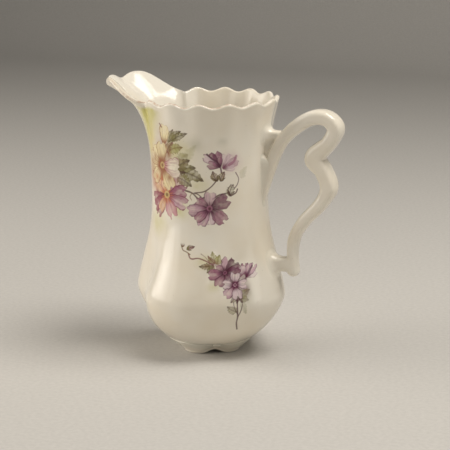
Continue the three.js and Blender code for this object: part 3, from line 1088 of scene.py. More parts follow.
    def build_tail_fillet(self) -> bpy.types.Object:
        """Builds the slip bead that eases the tail into the wall along both sides and at its end.

        Returns:
            The piece.
        """
        share = np.linspace(0.0, self.tail_share, self.tail_steps)
        centre = self.line(share)
        up = np.linspace(*self.tail_span, self.tail_rows)[:, None]
        across = np.linspace(-self.tail_half_width, self.tail_half_width, self.tail_columns)[None]
        middle, half, deep = (np.interp(up, centre[:, 1], values)
                              for values in (centre[:, 0], *self._sizes(share)))
        inside = np.clip(1 - np.abs(across / deep) ** self.squareness, 0.0, 1.0)
        beside = np.maximum(np.abs(across) - deep, 0.0)
        rib = middle + half * inside ** (1 / self.squareness) - beside * self.tail_fall
        across, up = np.broadcast_arrays(across, up)
        wall = self.form.wall_x(across, up)
        blend = self.tail_blend
        near = np.clip(0.5 + 0.5 * (rib - wall) / blend, 0.0, 1.0)
        eased = mix(wall, rib, near) + blend * near * (1 - near) * 0.5
        height = np.minimum(eased, np.maximum(wall, rib) + blend) - self.tail_sink
        leaving = smoothstep(up, self.tail_span[1] - self.tail_fade, self.tail_span[1])
        height = mix(height, wall - self.tail_end_sink, leaving)
        top = np.stack([height, across, up], axis=-1)
        base = np.stack([wall - self.tail_depth, across, up], axis=-1)
        points, faces, _, _ = closed_sheet(top, base)
        pool = np.full(len(points), self.tail_pool)
        return make_piece("tail_slip_fillet", points, faces, {Mark.POOL: pool})

    def dress(self, glaze: bpy.types.Material) -> None:
        """Builds the handle and its slip fillets and glazes them.

        Args:
            glaze: Material of the jug.
        """
        settle(self.build_handle(), glaze, Slot.PORCELAIN, "handle")
        settle(self.build_fillet("spur_slip_fillet", self.spur), glaze, Slot.SLIP, "upper_handle_lute")
        settle(self.build_fillet("strut_slip_fillet", self.strut), glaze, Slot.SLIP, "lower_handle_lute")
        settle(self.build_tail_fillet(), glaze, Slot.SLIP, "tail_lute")


def closed_sheet(top: Array, base: Array, keep: Array | None = None) -> tuple[Array, list, Array, int]:
    """Thin closed body between two grids of points.

    Args:
        top: Outer points by row and column.
        base: Inner points, in the same order.
        keep: Which cells of the grid belong to the body; all of them if left out.

    Returns:
        Points, faces, which of the grids' points they use, and how many of the last faces close the edge.
    """
    rows, columns = top.shape[:2]
    keep = np.ones((rows - 1, columns - 1), bool) if keep is None else keep
    index = np.arange(rows * columns).reshape(rows, columns)
    a, b, c, d = (index[i:rows - 1 + i, k:columns - 1 + k][keep] for i, k in ((0, 0), (0, 1), (1, 1), (1, 0)))
    outer = np.stack([a, b, c, d], axis=1)
    under = rows * columns
    faces = np.vstack([outer, outer[:, ::-1] + under])
    edges = np.vstack([outer[:, [i, (i + 1) % 4]] for i in range(4)])
    key = edges.min(axis=1).astype(np.int64) * under + edges.max(axis=1)
    _, first, count = np.unique(key, return_index=True, return_counts=True)
    rim = edges[first[count == 1]]
    faces = np.vstack([faces, np.stack([rim[:, 1], rim[:, 0], rim[:, 0] + under, rim[:, 1] + under], axis=1)])
    used, flat = np.unique(faces, return_inverse=True)
    points = np.vstack([top.reshape(-1, 3), base.reshape(-1, 3)])[used]
    return points, [tuple(face) for face in flat.reshape(-1, 4).tolist()], used, len(rim)


@dataclass(frozen=True)
class ViewPoint:
    """Camera at the photograph's viewing angle, fitted to the jug's outline. Distances are in millimetres."""

    azimuth: float = 24.0
    distance: float = 1100.0
    height: float = 325.7
    pitch: float = 12.18
    focal: float = 1596.0
    axis_pixel: float = 210.0
    roll: float = -0.233
    sensor: float = 36.0
    farthest_metres: float = 20.0

    def axes(self) -> tuple[Array, Array, Array]:
        """Directions of the camera.

        Returns:
            Right, up and forward.
        """
        turn, drop = math.radians(self.azimuth), math.radians(self.pitch)
        yaw = math.atan((IMAGE_SIZE / 2 - self.axis_pixel) / self.focal)
        heading = turn - yaw
        level = np.array([-math.sin(heading), math.cos(heading), 0.0])
        right = np.array([math.cos(heading), math.sin(heading), 0.0])
        forward = level * math.cos(drop) - np.array([0.0, 0.0, math.sin(drop)])
        up, tilt = np.cross(right, forward), math.radians(self.roll)
        rolled_right = right * math.cos(tilt) + up * math.sin(tilt)
        rolled_up = up * math.cos(tilt) - right * math.sin(tilt)
        return rolled_right, rolled_up, forward

    def place(self) -> Array:
        """Place of the camera, counted from the jug's axis."""
        turn = math.radians(self.azimuth)
        return np.array([self.distance * math.sin(turn), -self.distance * math.cos(turn), self.height])

    def project(self, points: Array) -> tuple[Array, Array]:
        """Finds where points appear in the image.

        Args:
            points: Points about the jug's axis, in millimetres.

        Returns:
            Pixels across and down.
        """
        right, up, forward = self.axes()
        ray = points - self.place()
        depth = ray @ forward
        middle = IMAGE_SIZE / 2
        return middle + self.focal * (ray @ right) / depth, middle - self.focal * (ray @ up) / depth

    def build(self) -> bpy.types.Object:
        """Makes the camera and gives it to the scene.

        Returns:
            The camera.
        """
        data = bpy.data.cameras.new("photo_view")
        data.sensor_width = self.sensor
        data.lens = self.focal / IMAGE_SIZE * self.sensor
        data.clip_end = self.farthest_metres
        camera = bpy.data.objects.new("photo_view", data)
        right, up, forward = self.axes()
        turned = Matrix([[right[i], up[i], -forward[i]] for i in range(3)]).to_4x4()
        spot = self.place() * MM
        camera.matrix_world = Matrix.Translation(Vector((spot[0] + axis_x(), spot[1], spot[2]))) @ turned
        bpy.context.scene.collection.objects.link(camera)
        bpy.context.scene.camera = camera
        return camera


class Tint(Enum):
    """Ceramic colours of the printed sprays."""

    PLUM = "#521F38"
    VIOLET = "#7B3E5B"
    MAUVE = "#A0657E"
    LILAC = "#C89FAF"
    MIST = "#E2CCD1"
    PINK = "#CE949E"
    ROSE = "#984159"
    CORAL = "#BF7040"
    APRICOT = "#E3BE97"
    CREAM = "#EFE2B2"
    BUTTER = "#DFCB88"
    IVORY = "#F4EBD8"
    OLIVE = "#7E7540"
    MOSS = "#ABA663"
    BRONZE = "#7D5D34"
    UMBER = "#54402F"
    BARK = "#50272C"
    WINE = "#72202F"
    BLUSH_GREEN = "#CAC47A"
    SHADE = "#BDB9A4"
    RUST = "#94552F"


def tone(tint: Tint) -> Array:
    """Linear colour of a tint."""
    return np.array(linear(tint.value)[:3])


# The noise repeats after this many points, and its origin lies this many millimetres outside the sheets.
LATTICE = 64
NOISE_SHIFT = 400.0


def grain(x: Array, y: Array, pitch: float, seed: int) -> Array:
    """Smooth repeatable noise between 0 and 1.

    Args:
        x: Places across.
        y: Places up.
        pitch: Distance between the noise's own points.
        seed: Number that picks the pattern.

    Returns:
        Noise at each place.
    """
    lattice = np.random.default_rng(seed).random((LATTICE, LATTICE))
    column, row = x / pitch, y / pitch
    left, low = np.floor(column).astype(int), np.floor(row).astype(int)
    right_part, upper_part = (smoothstep(part, 0.0, 1.0) for part in (column - left, row - low))
    lower, upper = (mix(*(lattice[(low + i) % LATTICE, (left + k) % LATTICE] for k in (0, 1)), right_part)
                    for i in (0, 1))
    return mix(lower, upper, upper_part)


@dataclass
class TransferSheet:
    """One printed transfer on the outer wall: a thin film that carries colour and strength by point."""

    form: BodyForm
    view: ViewPoint
    turn_span: Span
    share_span: Span
    turn_middle: float
    pitch: float = 0.29
    film: float = 0.05
    sunk: float = 0.012
    faintest: float = 0.01
    full: float = 0.055
    soft_edge: float = 3.0
    search_turns: tuple[float, float, int] = (-152.0, 0.0, 77)
    search_shares: tuple[float, float, int] = (0.05, 0.97, 93)
    search_rounds: int = 8
    search_step: float = 1e-4
    search_stride: float = 0.05

    def __post_init__(self) -> None:
        """Lays out the sheet's grid with places in millimetres across and up, and clears its ink."""
        spans = [math.radians(abs(self.turn_span[1] - self.turn_span[0])) * self.form.rim[0],
                 (self.share_span[1] - self.share_span[0]) * self.form.length]
        columns, rows = (int(span / self.pitch) for span in spans)
        self.turns = np.radians(np.linspace(*self.turn_span, columns))[None]
        self.shares = np.linspace(*self.share_span, rows)[:, None]
        self.across, self.up = self.flat(self.turns, self.shares)
        self.colour = np.zeros((*self.across.shape, 3))
        self.strength = np.zeros(self.across.shape)
        self.seed = 0
        turns = np.radians(np.linspace(*self.search_turns))[None]
        shares = np.linspace(*self.search_shares)[:, None]
        self.coarse = (turns, shares)
        self.seen = self.view.project(self.form.offset(shares, turns, 0.0))

    def flat(self, turns: Array, shares: Array) -> tuple[Array, Array]:
        """Places on the unrolled wall.

        Args:
            turns: Direction counted from the handle, in radians.
            shares: Share of the meridian's length, from the seat.

        Returns:
            Places across and up, in millimetres.
        """
        radius = self.form.outside(shares, turns)[0]
        across = (turns - math.radians(self.turn_middle)) * radius
        return np.broadcast_arrays(across, shares * self.form.length)

    def at(self, pixel: Pixel) -> Array:
        """Finds the place on the unrolled wall that the camera sees at a pixel.

        Args:
            pixel: Pixel of the 450 by 450 image.

        Returns:
            Place across and up.
        """
        (turn, share), (x, y) = self.coarse, self.seen
        near = np.unravel_index(np.argmin((x - pixel[0]) ** 2 + (y - pixel[1]) ** 2), x.shape)
        place, step = np.array([turn[0, near[1]], share[near[0], 0]]), self.search_step
        for _ in range(self.search_rounds):
            probe = place[None] + np.array([[0.0, 0.0], [step, 0.0], [0.0, step]])
            seen = np.stack(self.view.project(self.form.offset(probe[:, 1], probe[:, 0], 0.0)), axis=1)
            slopes = ((seen[1:] - seen[0]) / step).T
            move = np.linalg.solve(slopes, np.array(pixel) - seen[0])
            place = place + np.clip(move, -self.search_stride, self.search_stride)
        return np.array([float(v[0]) for v in self.flat(place[:1], place[1:])])

    def near(self, place: Array, reach: float) -> "Area":
        """Cuts out what lies within reach of a place.

        Args:
            place: Place across and up.
            reach: Distance in millimetres.

        Returns:
            The part of the sheet.
        """
        rows = np.flatnonzero(np.abs(self.up[:, 0] - place[1]) < reach)
        columns = np.flatnonzero((np.abs(self.across[rows] - place[0]) < reach).any(axis=0))
        return Area(self, slice(rows[0], rows[-1] + 1), slice(columns[0], columns[-1] + 1))

    def build(self, name: str) -> bpy.types.Object:
        """Makes the film, cut along the ink.

        Args:
            name: Name of the piece.

        Returns:
            The piece.
        """
        self.strength *= smoothstep(self.share_span[1] - self.shares, 0.0, self.soft_edge / self.form.length)
        inked = self.strength > self.faintest
        keep = inked[:-1, :-1] | inked[1:, :-1] | inked[:-1, 1:] | inked[1:, 1:]
        lift = self.film * smoothstep(self.strength, self.faintest, self.full) - self.sunk
        top = self.form.offset(self.shares, self.turns, lift)
        base = self.form.offset(self.shares, self.turns, -self.film)
        points, faces, used, rim = closed_sheet(top, base, keep)
        ink = np.concatenate([self.colour, self.strength[..., None]], axis=2).reshape(-1, 4)
        return make_piece(name, points, faces, {Mark.INK: np.vstack([ink, ink])[used]}, rim)


@dataclass
class Area:
    """Part of a transfer sheet round one motif."""

    sheet: TransferSheet
    rows: slice
    columns: slice

    @property
    def across(self) -> Array:
        """Places across."""
        return self.sheet.across[self.rows, self.columns]

    @property
    def up(self) -> Array:
        """Places up."""
        return self.sheet.up[self.rows, self.columns]

    def noise(self, pitch: float) -> Array:
        """Noise over the area, another pattern at each call."""
        self.sheet.seed += 1
        return grain(self.across + NOISE_SHIFT, self.up + NOISE_SHIFT, pitch, self.sheet.seed)

    def uneven(self, kind: Grain) -> Array:
        """Noise between the lowest and highest value of its kind."""
        return mix(kind[1], kind[2], self.noise(kind[0]))

    def lay(self, strength: Array, colour: Array) -> None:
        """Lays ink over what is there.

        Args:
            strength: How much of the ground the ink hides at each place.
            colour: Linear colour of the ink.
        """
        there = self.sheet.strength[self.rows, self.columns]
        strength = np.clip(strength, 0.0, 1.0)
        kept = there * (1 - strength)
        total = strength + kept
        mixed = colour * strength[..., None] + kept[..., None] * self.sheet.colour[self.rows, self.columns]
        self.sheet.colour[self.rows, self.columns] = mixed / np.maximum(total, 1e-6)[..., None]
        self.sheet.strength[self.rows, self.columns] = total


@dataclass(frozen=True)
class Wash:
    """Soft sprayed tint."""

    at: Pixel
    width: float
    height: float
    tint: Tint
    strength: float = 0.5
    reach: ClassVar[float] = 1.7
    falling: ClassVar[float] = 2.2
    cut: ClassVar[float] = 0.008
    spatter: ClassVar[Grain] = (3.0, 0.6, 1.2)

    def paint(self, sheet: TransferSheet) -> None:
        """Lays the wash.

        Args:
            sheet: The transfer that it is painted on.
        """
        place = sheet.at(self.at)
        area = sheet.near(place, self.reach * max(self.width, self.height))
        gap = ((area.across - place[0]) / self.width) ** 2 + ((area.up - place[1]) / self.height) ** 2
        cloud = np.clip(np.exp(-self.falling * gap) - self.cut, 0.0, 1.0)
        area.lay(cloud * self.strength * area.uneven(self.spatter), tone(self.tint))


@dataclass(frozen=True)
class Stem:
    """Drawn stalk or tendril through a row of points."""

    path: tuple[Pixel, ...]
    width: float = 0.6
    tint: Tint = Tint.BARK
    strength: float = 0.85
    steps: ClassVar[int] = 8
    edge: ClassVar[float] = 0.3
    edge_inset: ClassVar[float] = 0.12
    pressure: ClassVar[Grain] = (4.0, 0.7, 1.3)

    def paint(self, sheet: TransferSheet) -> None:
        """Draws the line with an uneven pressure of the pen.

        Args:
            sheet: The transfer that it is painted on.
        """
        knots = np.array([sheet.at(pixel) for pixel in self.path])
        line = through(knots, np.linspace(0.0, 1.0, self.steps * len(knots)))
        middle = (line.min(axis=0) + line.max(axis=0)) / 2
        area = sheet.near(middle, float(np.abs(line - middle).max()) + 2 * self.width)
        gap = np.full(area.across.shape, np.inf)
        for start, end in zip(line[:-1], line[1:]):
            run = end - start
            dx, dy = area.across - start[0], area.up - start[1]
            share = np.clip((dx * run[0] + dy * run[1]) / max(run @ run, 1e-9), 0.0, 1.0)
            gap = np.minimum(gap, np.hypot(dx - share * run[0], dy - share * run[1]))
        half = self.width / 2 * area.uneven(self.pressure)
        outside = np.clip((gap - half + self.edge_inset) / self.edge, 0.0, 1.0)
        area.lay((1 - outside) * self.strength, tone(self.tint))


@dataclass(frozen=True)
class Leaf:
    """Toothed leaf with midrib and side veins, or a soft shadow of one."""

    base: Pixel
    tip: Pixel
    width: float
    tint: Tint = Tint.OLIVE
    rib: Tint = Tint.UMBER
    strength: float = 0.85
    softness: float = 0.25
    bend: float = 0.12
    teeth: ClassVar[float] = 6.5
    tooth_depth: ClassVar[float] = 0.5
    fullness: ClassVar[float] = 0.72
    bluntness: ClassVar[float] = 0.9
    raggedness: ClassVar[Grain] = (1.5, 0.72, 1.28)
    mossiness: ClassVar[Grain] = (2.0, 0.0, 0.55)
    blotches: ClassVar[Grain] = (2.1, 0.42, 1.04)
    vein_width: ClassVar[float] = 0.13
    side_veins: ClassVar[float] = 5.2
    vein_slant: ClassVar[float] = 0.9
    side_vein_strength: ClassVar[float] = 0.55
    line_inset: ClassVar[float] = 0.2
    line_width: ClassVar[float] = 0.25
    line_strength: ClassVar[float] = 0.75
    gap_pitch: ClassVar[float] = 2.5
    gap_share: ClassVar[float] = 0.35
    crisp_softness: ClassVar[float] = 0.3
    dark_tip: ClassVar[Span] = (0.62, 1.0)
    tip_strength: ClassVar[float] = 0.7

    def paint(self, sheet: TransferSheet) -> None:
        """Lays the blade, then its veins and edge.

        Args:
            sheet: The transfer that it is painted on.
        """
        base, tip = sheet.at(self.base), sheet.at(self.tip)
        run = tip - base
        length = float(np.hypot(*run))
        run = run / length
        area = sheet.near((base + tip) / 2, length / 2 + self.width)
        dx, dy = area.across - base[0], area.up - base[1]
        along = (dx * run[0] + dy * run[1]) / length
        inside = np.clip(along, 0.0, 1.0)
        side = (dy * run[0] - dx * run[1]) / (self.width / 2) - self.bend * np.sin(math.pi * inside) * 2
        ragged = 1 + self.tooth_depth * (np.abs((along * self.teeth) % 1 - 0.5) - 0.25)
        ragged = ragged * area.uneven(self.raggedness)
        half = np.sin(math.pi * inside ** self.fullness) ** self.bluntness * ragged
        edge = (half - np.abs(side)) * self.width / 2
        blade = np.clip((edge + self.softness / 2) / self.softness, 0.0, 1.0) * ((along > 0) & (along < 1))
        moss = area.uneven(self.mossiness) * (side > 0)
        light = mix(tone(self.tint), tone(Tint.MOSS), moss[..., None])
        area.lay(blade * self.strength * area.uneven(self.blotches), light)
        branch = (along * self.side_veins - np.abs(side) * self.vein_slant) % 1 - 0.5
        veins = soft_line(side, self.vein_width)
        veins = veins + self.side_vein_strength * soft_line(branch, self.vein_width)
        outline = self.line_strength * soft_line(edge - self.line_inset, self.line_width)
        veins = veins + outline * (area.noise(self.gap_pitch) > self.gap_share)
        drawn = blade * self.strength * min(1.0, self.crisp_softness / self.softness)
        area.lay(drawn * smoothstep(along, *self.dark_tip) * self.tip_strength, tone(self.rib))
        area.lay(drawn * np.clip(veins, 0.0, 1.0) * self.line_strength, tone(self.rib))


@dataclass(frozen=True)
class Petal:
    """One petal about a flower's eye: direction in degrees anticlockwise, length and width in millimetres."""

    turn: float
    length: float
    width: float
    heart: Tint
    body: Tint
    line: Tint
    strength: float = 0.9
    notch: float = 0.14
    outline: float = 0.8
    notch_width: ClassVar[float] = 0.3
    ruffles: ClassVar[Grain] = (1.6, -0.12, 0.12)
    tip_ruffle: ClassVar[float] = 0.6
    widest: ClassVar[float] = 0.7
    heel: ClassVar[float] = 0.14
    swelling: ClassVar[float] = 1.25
    least: ClassVar[float] = 0.02

    def half_width(self, along: Array, side: Array, ruffle: Array) -> Array:
        """Half width of the petal along its length, as a share of its widest.

        Args:
            along: Share of the length from the eye.
            side: Place across, as a share of half the width.
            ruffle: How much the edge waves in and out.

        Returns:
            Half width at each place.
        """
        top = 1.0 + ruffle * self.tip_ruffle - self.notch * soft_line(side, self.notch_width)
        rising = np.sin(math.pi / 2 * np.clip(along / self.widest, 0.0, 1.0)) ** self.swelling
        past = np.clip(along - self.widest, 0.0, None) / (top - self.widest)
        closing = np.sqrt(np.clip(1 - past ** 2, 0.0, 1.0))
        return np.where(along < self.widest, mix(self.heel, 1.0, rising), closing) * (1 + ruffle)


@dataclass(frozen=True)
class Flower:
    """Open flower: petals laid one over the other, then stamens, ring and core."""

    eye: Pixel
    petals: tuple[Petal, ...]
    eye_radius: float = 2.2
    ring: Tint = Tint.APRICOT
    core: Tint = Tint.UMBER
    stamens: Tint = Tint.PLUM
    margin: ClassVar[float] = 2.0
    edge: ClassVar[float] = 0.25
    edge_outset: ClassVar[float] = 0.1
    heart_span: ClassVar[Span] = (0.14, 0.5)
    paling: ClassVar[float] = 0.48
    pale_pitch: ClassVar[float] = 2.4
    pale_cloud: ClassVar[Span] = (0.25, 0.9)
    pale_span: ClassVar[Span] = (0.3, 0.7)
    line_inset: ClassVar[float] = 0.25
    line_width: ClassVar[float] = 0.34
    line_pressure: ClassVar[Grain] = (2.4, 0.3, 1.3)
    most_line: ClassVar[float] = 0.92
    spatter: ClassVar[Grain] = (1.4, 0.85, 1.05)
    narrowest_fan: ClassVar[float] = 0.25
    streak_pitch: ClassVar[float] = 0.5
    streak_scale: ClassVar[Pair] = (4.5, 0.7)
    streak_origin: ClassVar[Pair] = (40.0, 5.0)
    streak_patterns: ClassVar[int] = 97
    first_pattern: ClassVar[int] = 3
    streak_span: ClassVar[Span] = (0.45, 0.8)
    streak_strength: ClassVar[float] = 0.6
    streak_end: ClassVar[float] = 1.15
    most_streak: ClassVar[float] = 0.8
    shaded_side: ClassVar[Span] = (0.3, 1.1)
    shade_strength: ClassVar[float] = 0.3
    stamen_count: ClassVar[int] = 13
    stamen_span: ClassVar[Span] = (0.2, 0.9)
    stamen_start: ClassVar[Span] = (0.7, 1.0)
    stamen_end: ClassVar[Span] = (1.6, 2.9)
    stamen_strength: ClassVar[float] = 0.8
    ring_edge: ClassVar[Span] = (0.9, 1.2)
    ring_patches: ClassVar[Grain] = (1.2, 0.55, 1.15)
    core_edge: ClassVar[Span] = (0.35, 0.7)
    eye_strength: ClassVar[float] = 0.85

    def paint(self, sheet: TransferSheet) -> None:
        """Lays the petals and the eye.

        Args:
            sheet: The transfer that it is painted on.
        """
        place = sheet.at(self.eye)
        area = sheet.near(place, max(petal.length for petal in self.petals) + self.margin)
        dx, dy = area.across - place[0], area.up - place[1]
        for petal in self.petals:
            self._petal(area, petal, dx, dy)
        if self.eye_radius:
            self._eye(area, dx, dy)

    def _petal(self, area: Area, petal: Petal, dx: Array, dy: Array) -> None:
        """Lays one petal: tinted from heart to rim, streaked along its length and drawn round.

        Args:
            area: Part of the transfer.
            petal: The petal.
            dx: Places across from the eye.
            dy: Places up from the eye.
        """
        way = math.radians(petal.turn)
        along = (dx * math.cos(way) + dy * math.sin(way)) / petal.length
        side = (dy * math.cos(way) - dx * math.sin(way)) / (petal.width / 2)
        half = petal.half_width(along, side, area.uneven(petal.ruffles))
        edge = (half - np.abs(side)) * petal.width / 2
        mask = np.clip((edge + self.edge_outset) / self.edge, 0.0, 1.0)
        mask = mask * (along > petal.least) * (half > petal.least)
        share = np.clip(along, 0.0, 1.0)
        fan = side / np.maximum(half, self.narrowest_fan)
        pale = self.paling * smoothstep(area.noise(self.pale_pitch), *self.pale_cloud)
        pale = pale * smoothstep(share, *self.pale_span) * (1 - np.abs(fan).clip(0.0, 1.0))
        body = mix(tone(petal.body), tone(Tint.IVORY), pale[..., None])
        colour = mix(tone(petal.heart), body, smoothstep(share, *self.heart_span)[..., None])
        drawn = petal.outline * soft_line(edge - self.line_inset, self.line_width)
        drawn = drawn * area.uneven(self.line_pressure) + self._streaks(petal, share, fan)
        colour = mix(colour, tone(petal.line), np.clip(drawn, 0.0, self.most_line)[..., None])
        area.lay(mask * petal.strength * area.uneven(self.spatter), colour)

    def _streaks(self, petal: Petal, share: Array, fan: Array) -> Array:
        """Strength of the lines that fan out along a petal, and of the shade down one side of it.

        Args:
            petal: The petal.
            share: Share of the length from the eye.
            fan: Place across, as a share of the petal's half width there.

        Returns:
            Strength of the line colour at each place.
        """
        pattern = int(petal.turn) % self.streak_patterns + self.first_pattern
        across = fan * self.streak_scale[0] + self.streak_origin[0] + petal.turn
        along = share * self.streak_scale[1] + self.streak_origin[1]
        streak = smoothstep(grain(across, along, self.streak_pitch, pattern), *self.streak_span)
        fading = np.clip(self.streak_end - share, 0.0, self.most_streak)
        shade = self.shade_strength * smoothstep(fan, *self.shaded_side)
        return self.streak_strength * streak * fading + shade

    def _eye(self, area: Area, dx: Array, dy: Array) -> None:
        """Lays the stamens, the pale ring and the dark core.

        Args:
            area: Part of the transfer.
            dx: Places across from the eye.
            dy: Places up from the eye.
        """
        gap, way = np.hypot(dx, dy) / self.eye_radius, np.arctan2(dy, dx)
        waving = way * self.stamen_count + 2 * np.sin(way * 3)
        rays = self.stamen_strength * smoothstep(np.cos(waving), *self.stamen_span)
        rays = rays * smoothstep(gap, *self.stamen_start) * (1 - smoothstep(gap, *self.stamen_end))
        area.lay(rays, tone(self.stamens))
        patches = self.eye_strength * area.uneven(self.ring_patches)
        area.lay(patches * (1 - smoothstep(gap, *self.ring_edge)), tone(self.ring))
        area.lay(self.eye_strength * (1 - smoothstep(gap, *self.core_edge)), tone(self.core))


@dataclass(frozen=True)
class Bud:
    """Closed bud or side flower with the sepals that hold it."""

    base: Pixel
    tip: Pixel
    width: float
    tint: Tint = Tint.WINE
    sepal: Tint = Tint.OLIVE
    strength: float = 0.9
    sepal_length: ClassVar[float] = 0.5
    sepal_spread: ClassVar[float] = 0.3
    sepal_width: ClassVar[float] = 0.28

    def paint(self, sheet: TransferSheet) -> None:
        """Lays the bud and two sepals at its base.

        Args:
            sheet: The transfer that it is painted on.
        """
        base, tip = np.array(self.base), np.array(self.tip)
        Leaf(self.base, self.tip, self.width, self.tint, Tint.BARK, self.strength).paint(sheet)
        across = np.array([base[1] - tip[1], tip[0] - base[0]]) * self.sepal_spread
        width = self.width * self.sepal_width
        for way in (-1, 1):
            point = tuple(mix(base, tip, self.sepal_length) + across * way)
            Leaf(self.base, point, width, self.sepal, Tint.UMBER, self.strength).paint(sheet)


# Anything that is printed on a transfer sheet.
Motif = Wash | Stem | Leaf | Flower | Bud


def violet_petal(turn: float, length: float, width: float, depth: int = 1, **more: float) -> Petal:
    """Purple petal.

    Args:
        turn: Direction in degrees, anticlockwise.
        length: Length in millimetres.
        width: Width in millimetres.
        depth: Depth of the purple, from 0 for the palest to 3.
        more: Other values of the petal.

    Returns:
        The petal.
    """
    heart, body, line = (
        (Tint.VIOLET, Tint.MIST, Tint.VIOLET),
        (Tint.VIOLET, Tint.LILAC, Tint.PLUM),
        (Tint.PLUM, Tint.MAUVE, Tint.PLUM),
        (Tint.PLUM, Tint.VIOLET, Tint.PLUM),
    )[depth]
    return Petal(turn, length, width, heart, body, line, **more)


def pale_petal(turn: float, length: float, width: float) -> Petal:
    """Pale lilac petal with dark lines that run out from the eye."""
    return Petal(turn, length, width, Tint.VIOLET, Tint.MIST, Tint.PLUM, 0.95, 0.22, 0.9)


def cream_petal(turn: float, length: float, width: float, notch: float = 0.14, outline: float = 1.0) -> Petal:
    """Cream petal with a rust-brown heart and lines."""
    return Petal(turn, length, width, Tint.RUST, Tint.CREAM, Tint.RUST, notch=notch, outline=outline)


def coral_petal(turn: float, length: float, width: float, body: Tint = Tint.APRICOT, **more: float) -> Petal:
    """Petal that burns from coral at the heart to a paler colour."""
    return Petal(turn, length, width, Tint.CORAL, body, Tint.ROSE, **more)


def wine_petal(turn: float, length: float, width: float, heart: Tint = Tint.WINE) -> Petal:
    """Deep rose petal drawn in wine red."""
    return Petal(turn, length, width, heart, Tint.ROSE, Tint.WINE)


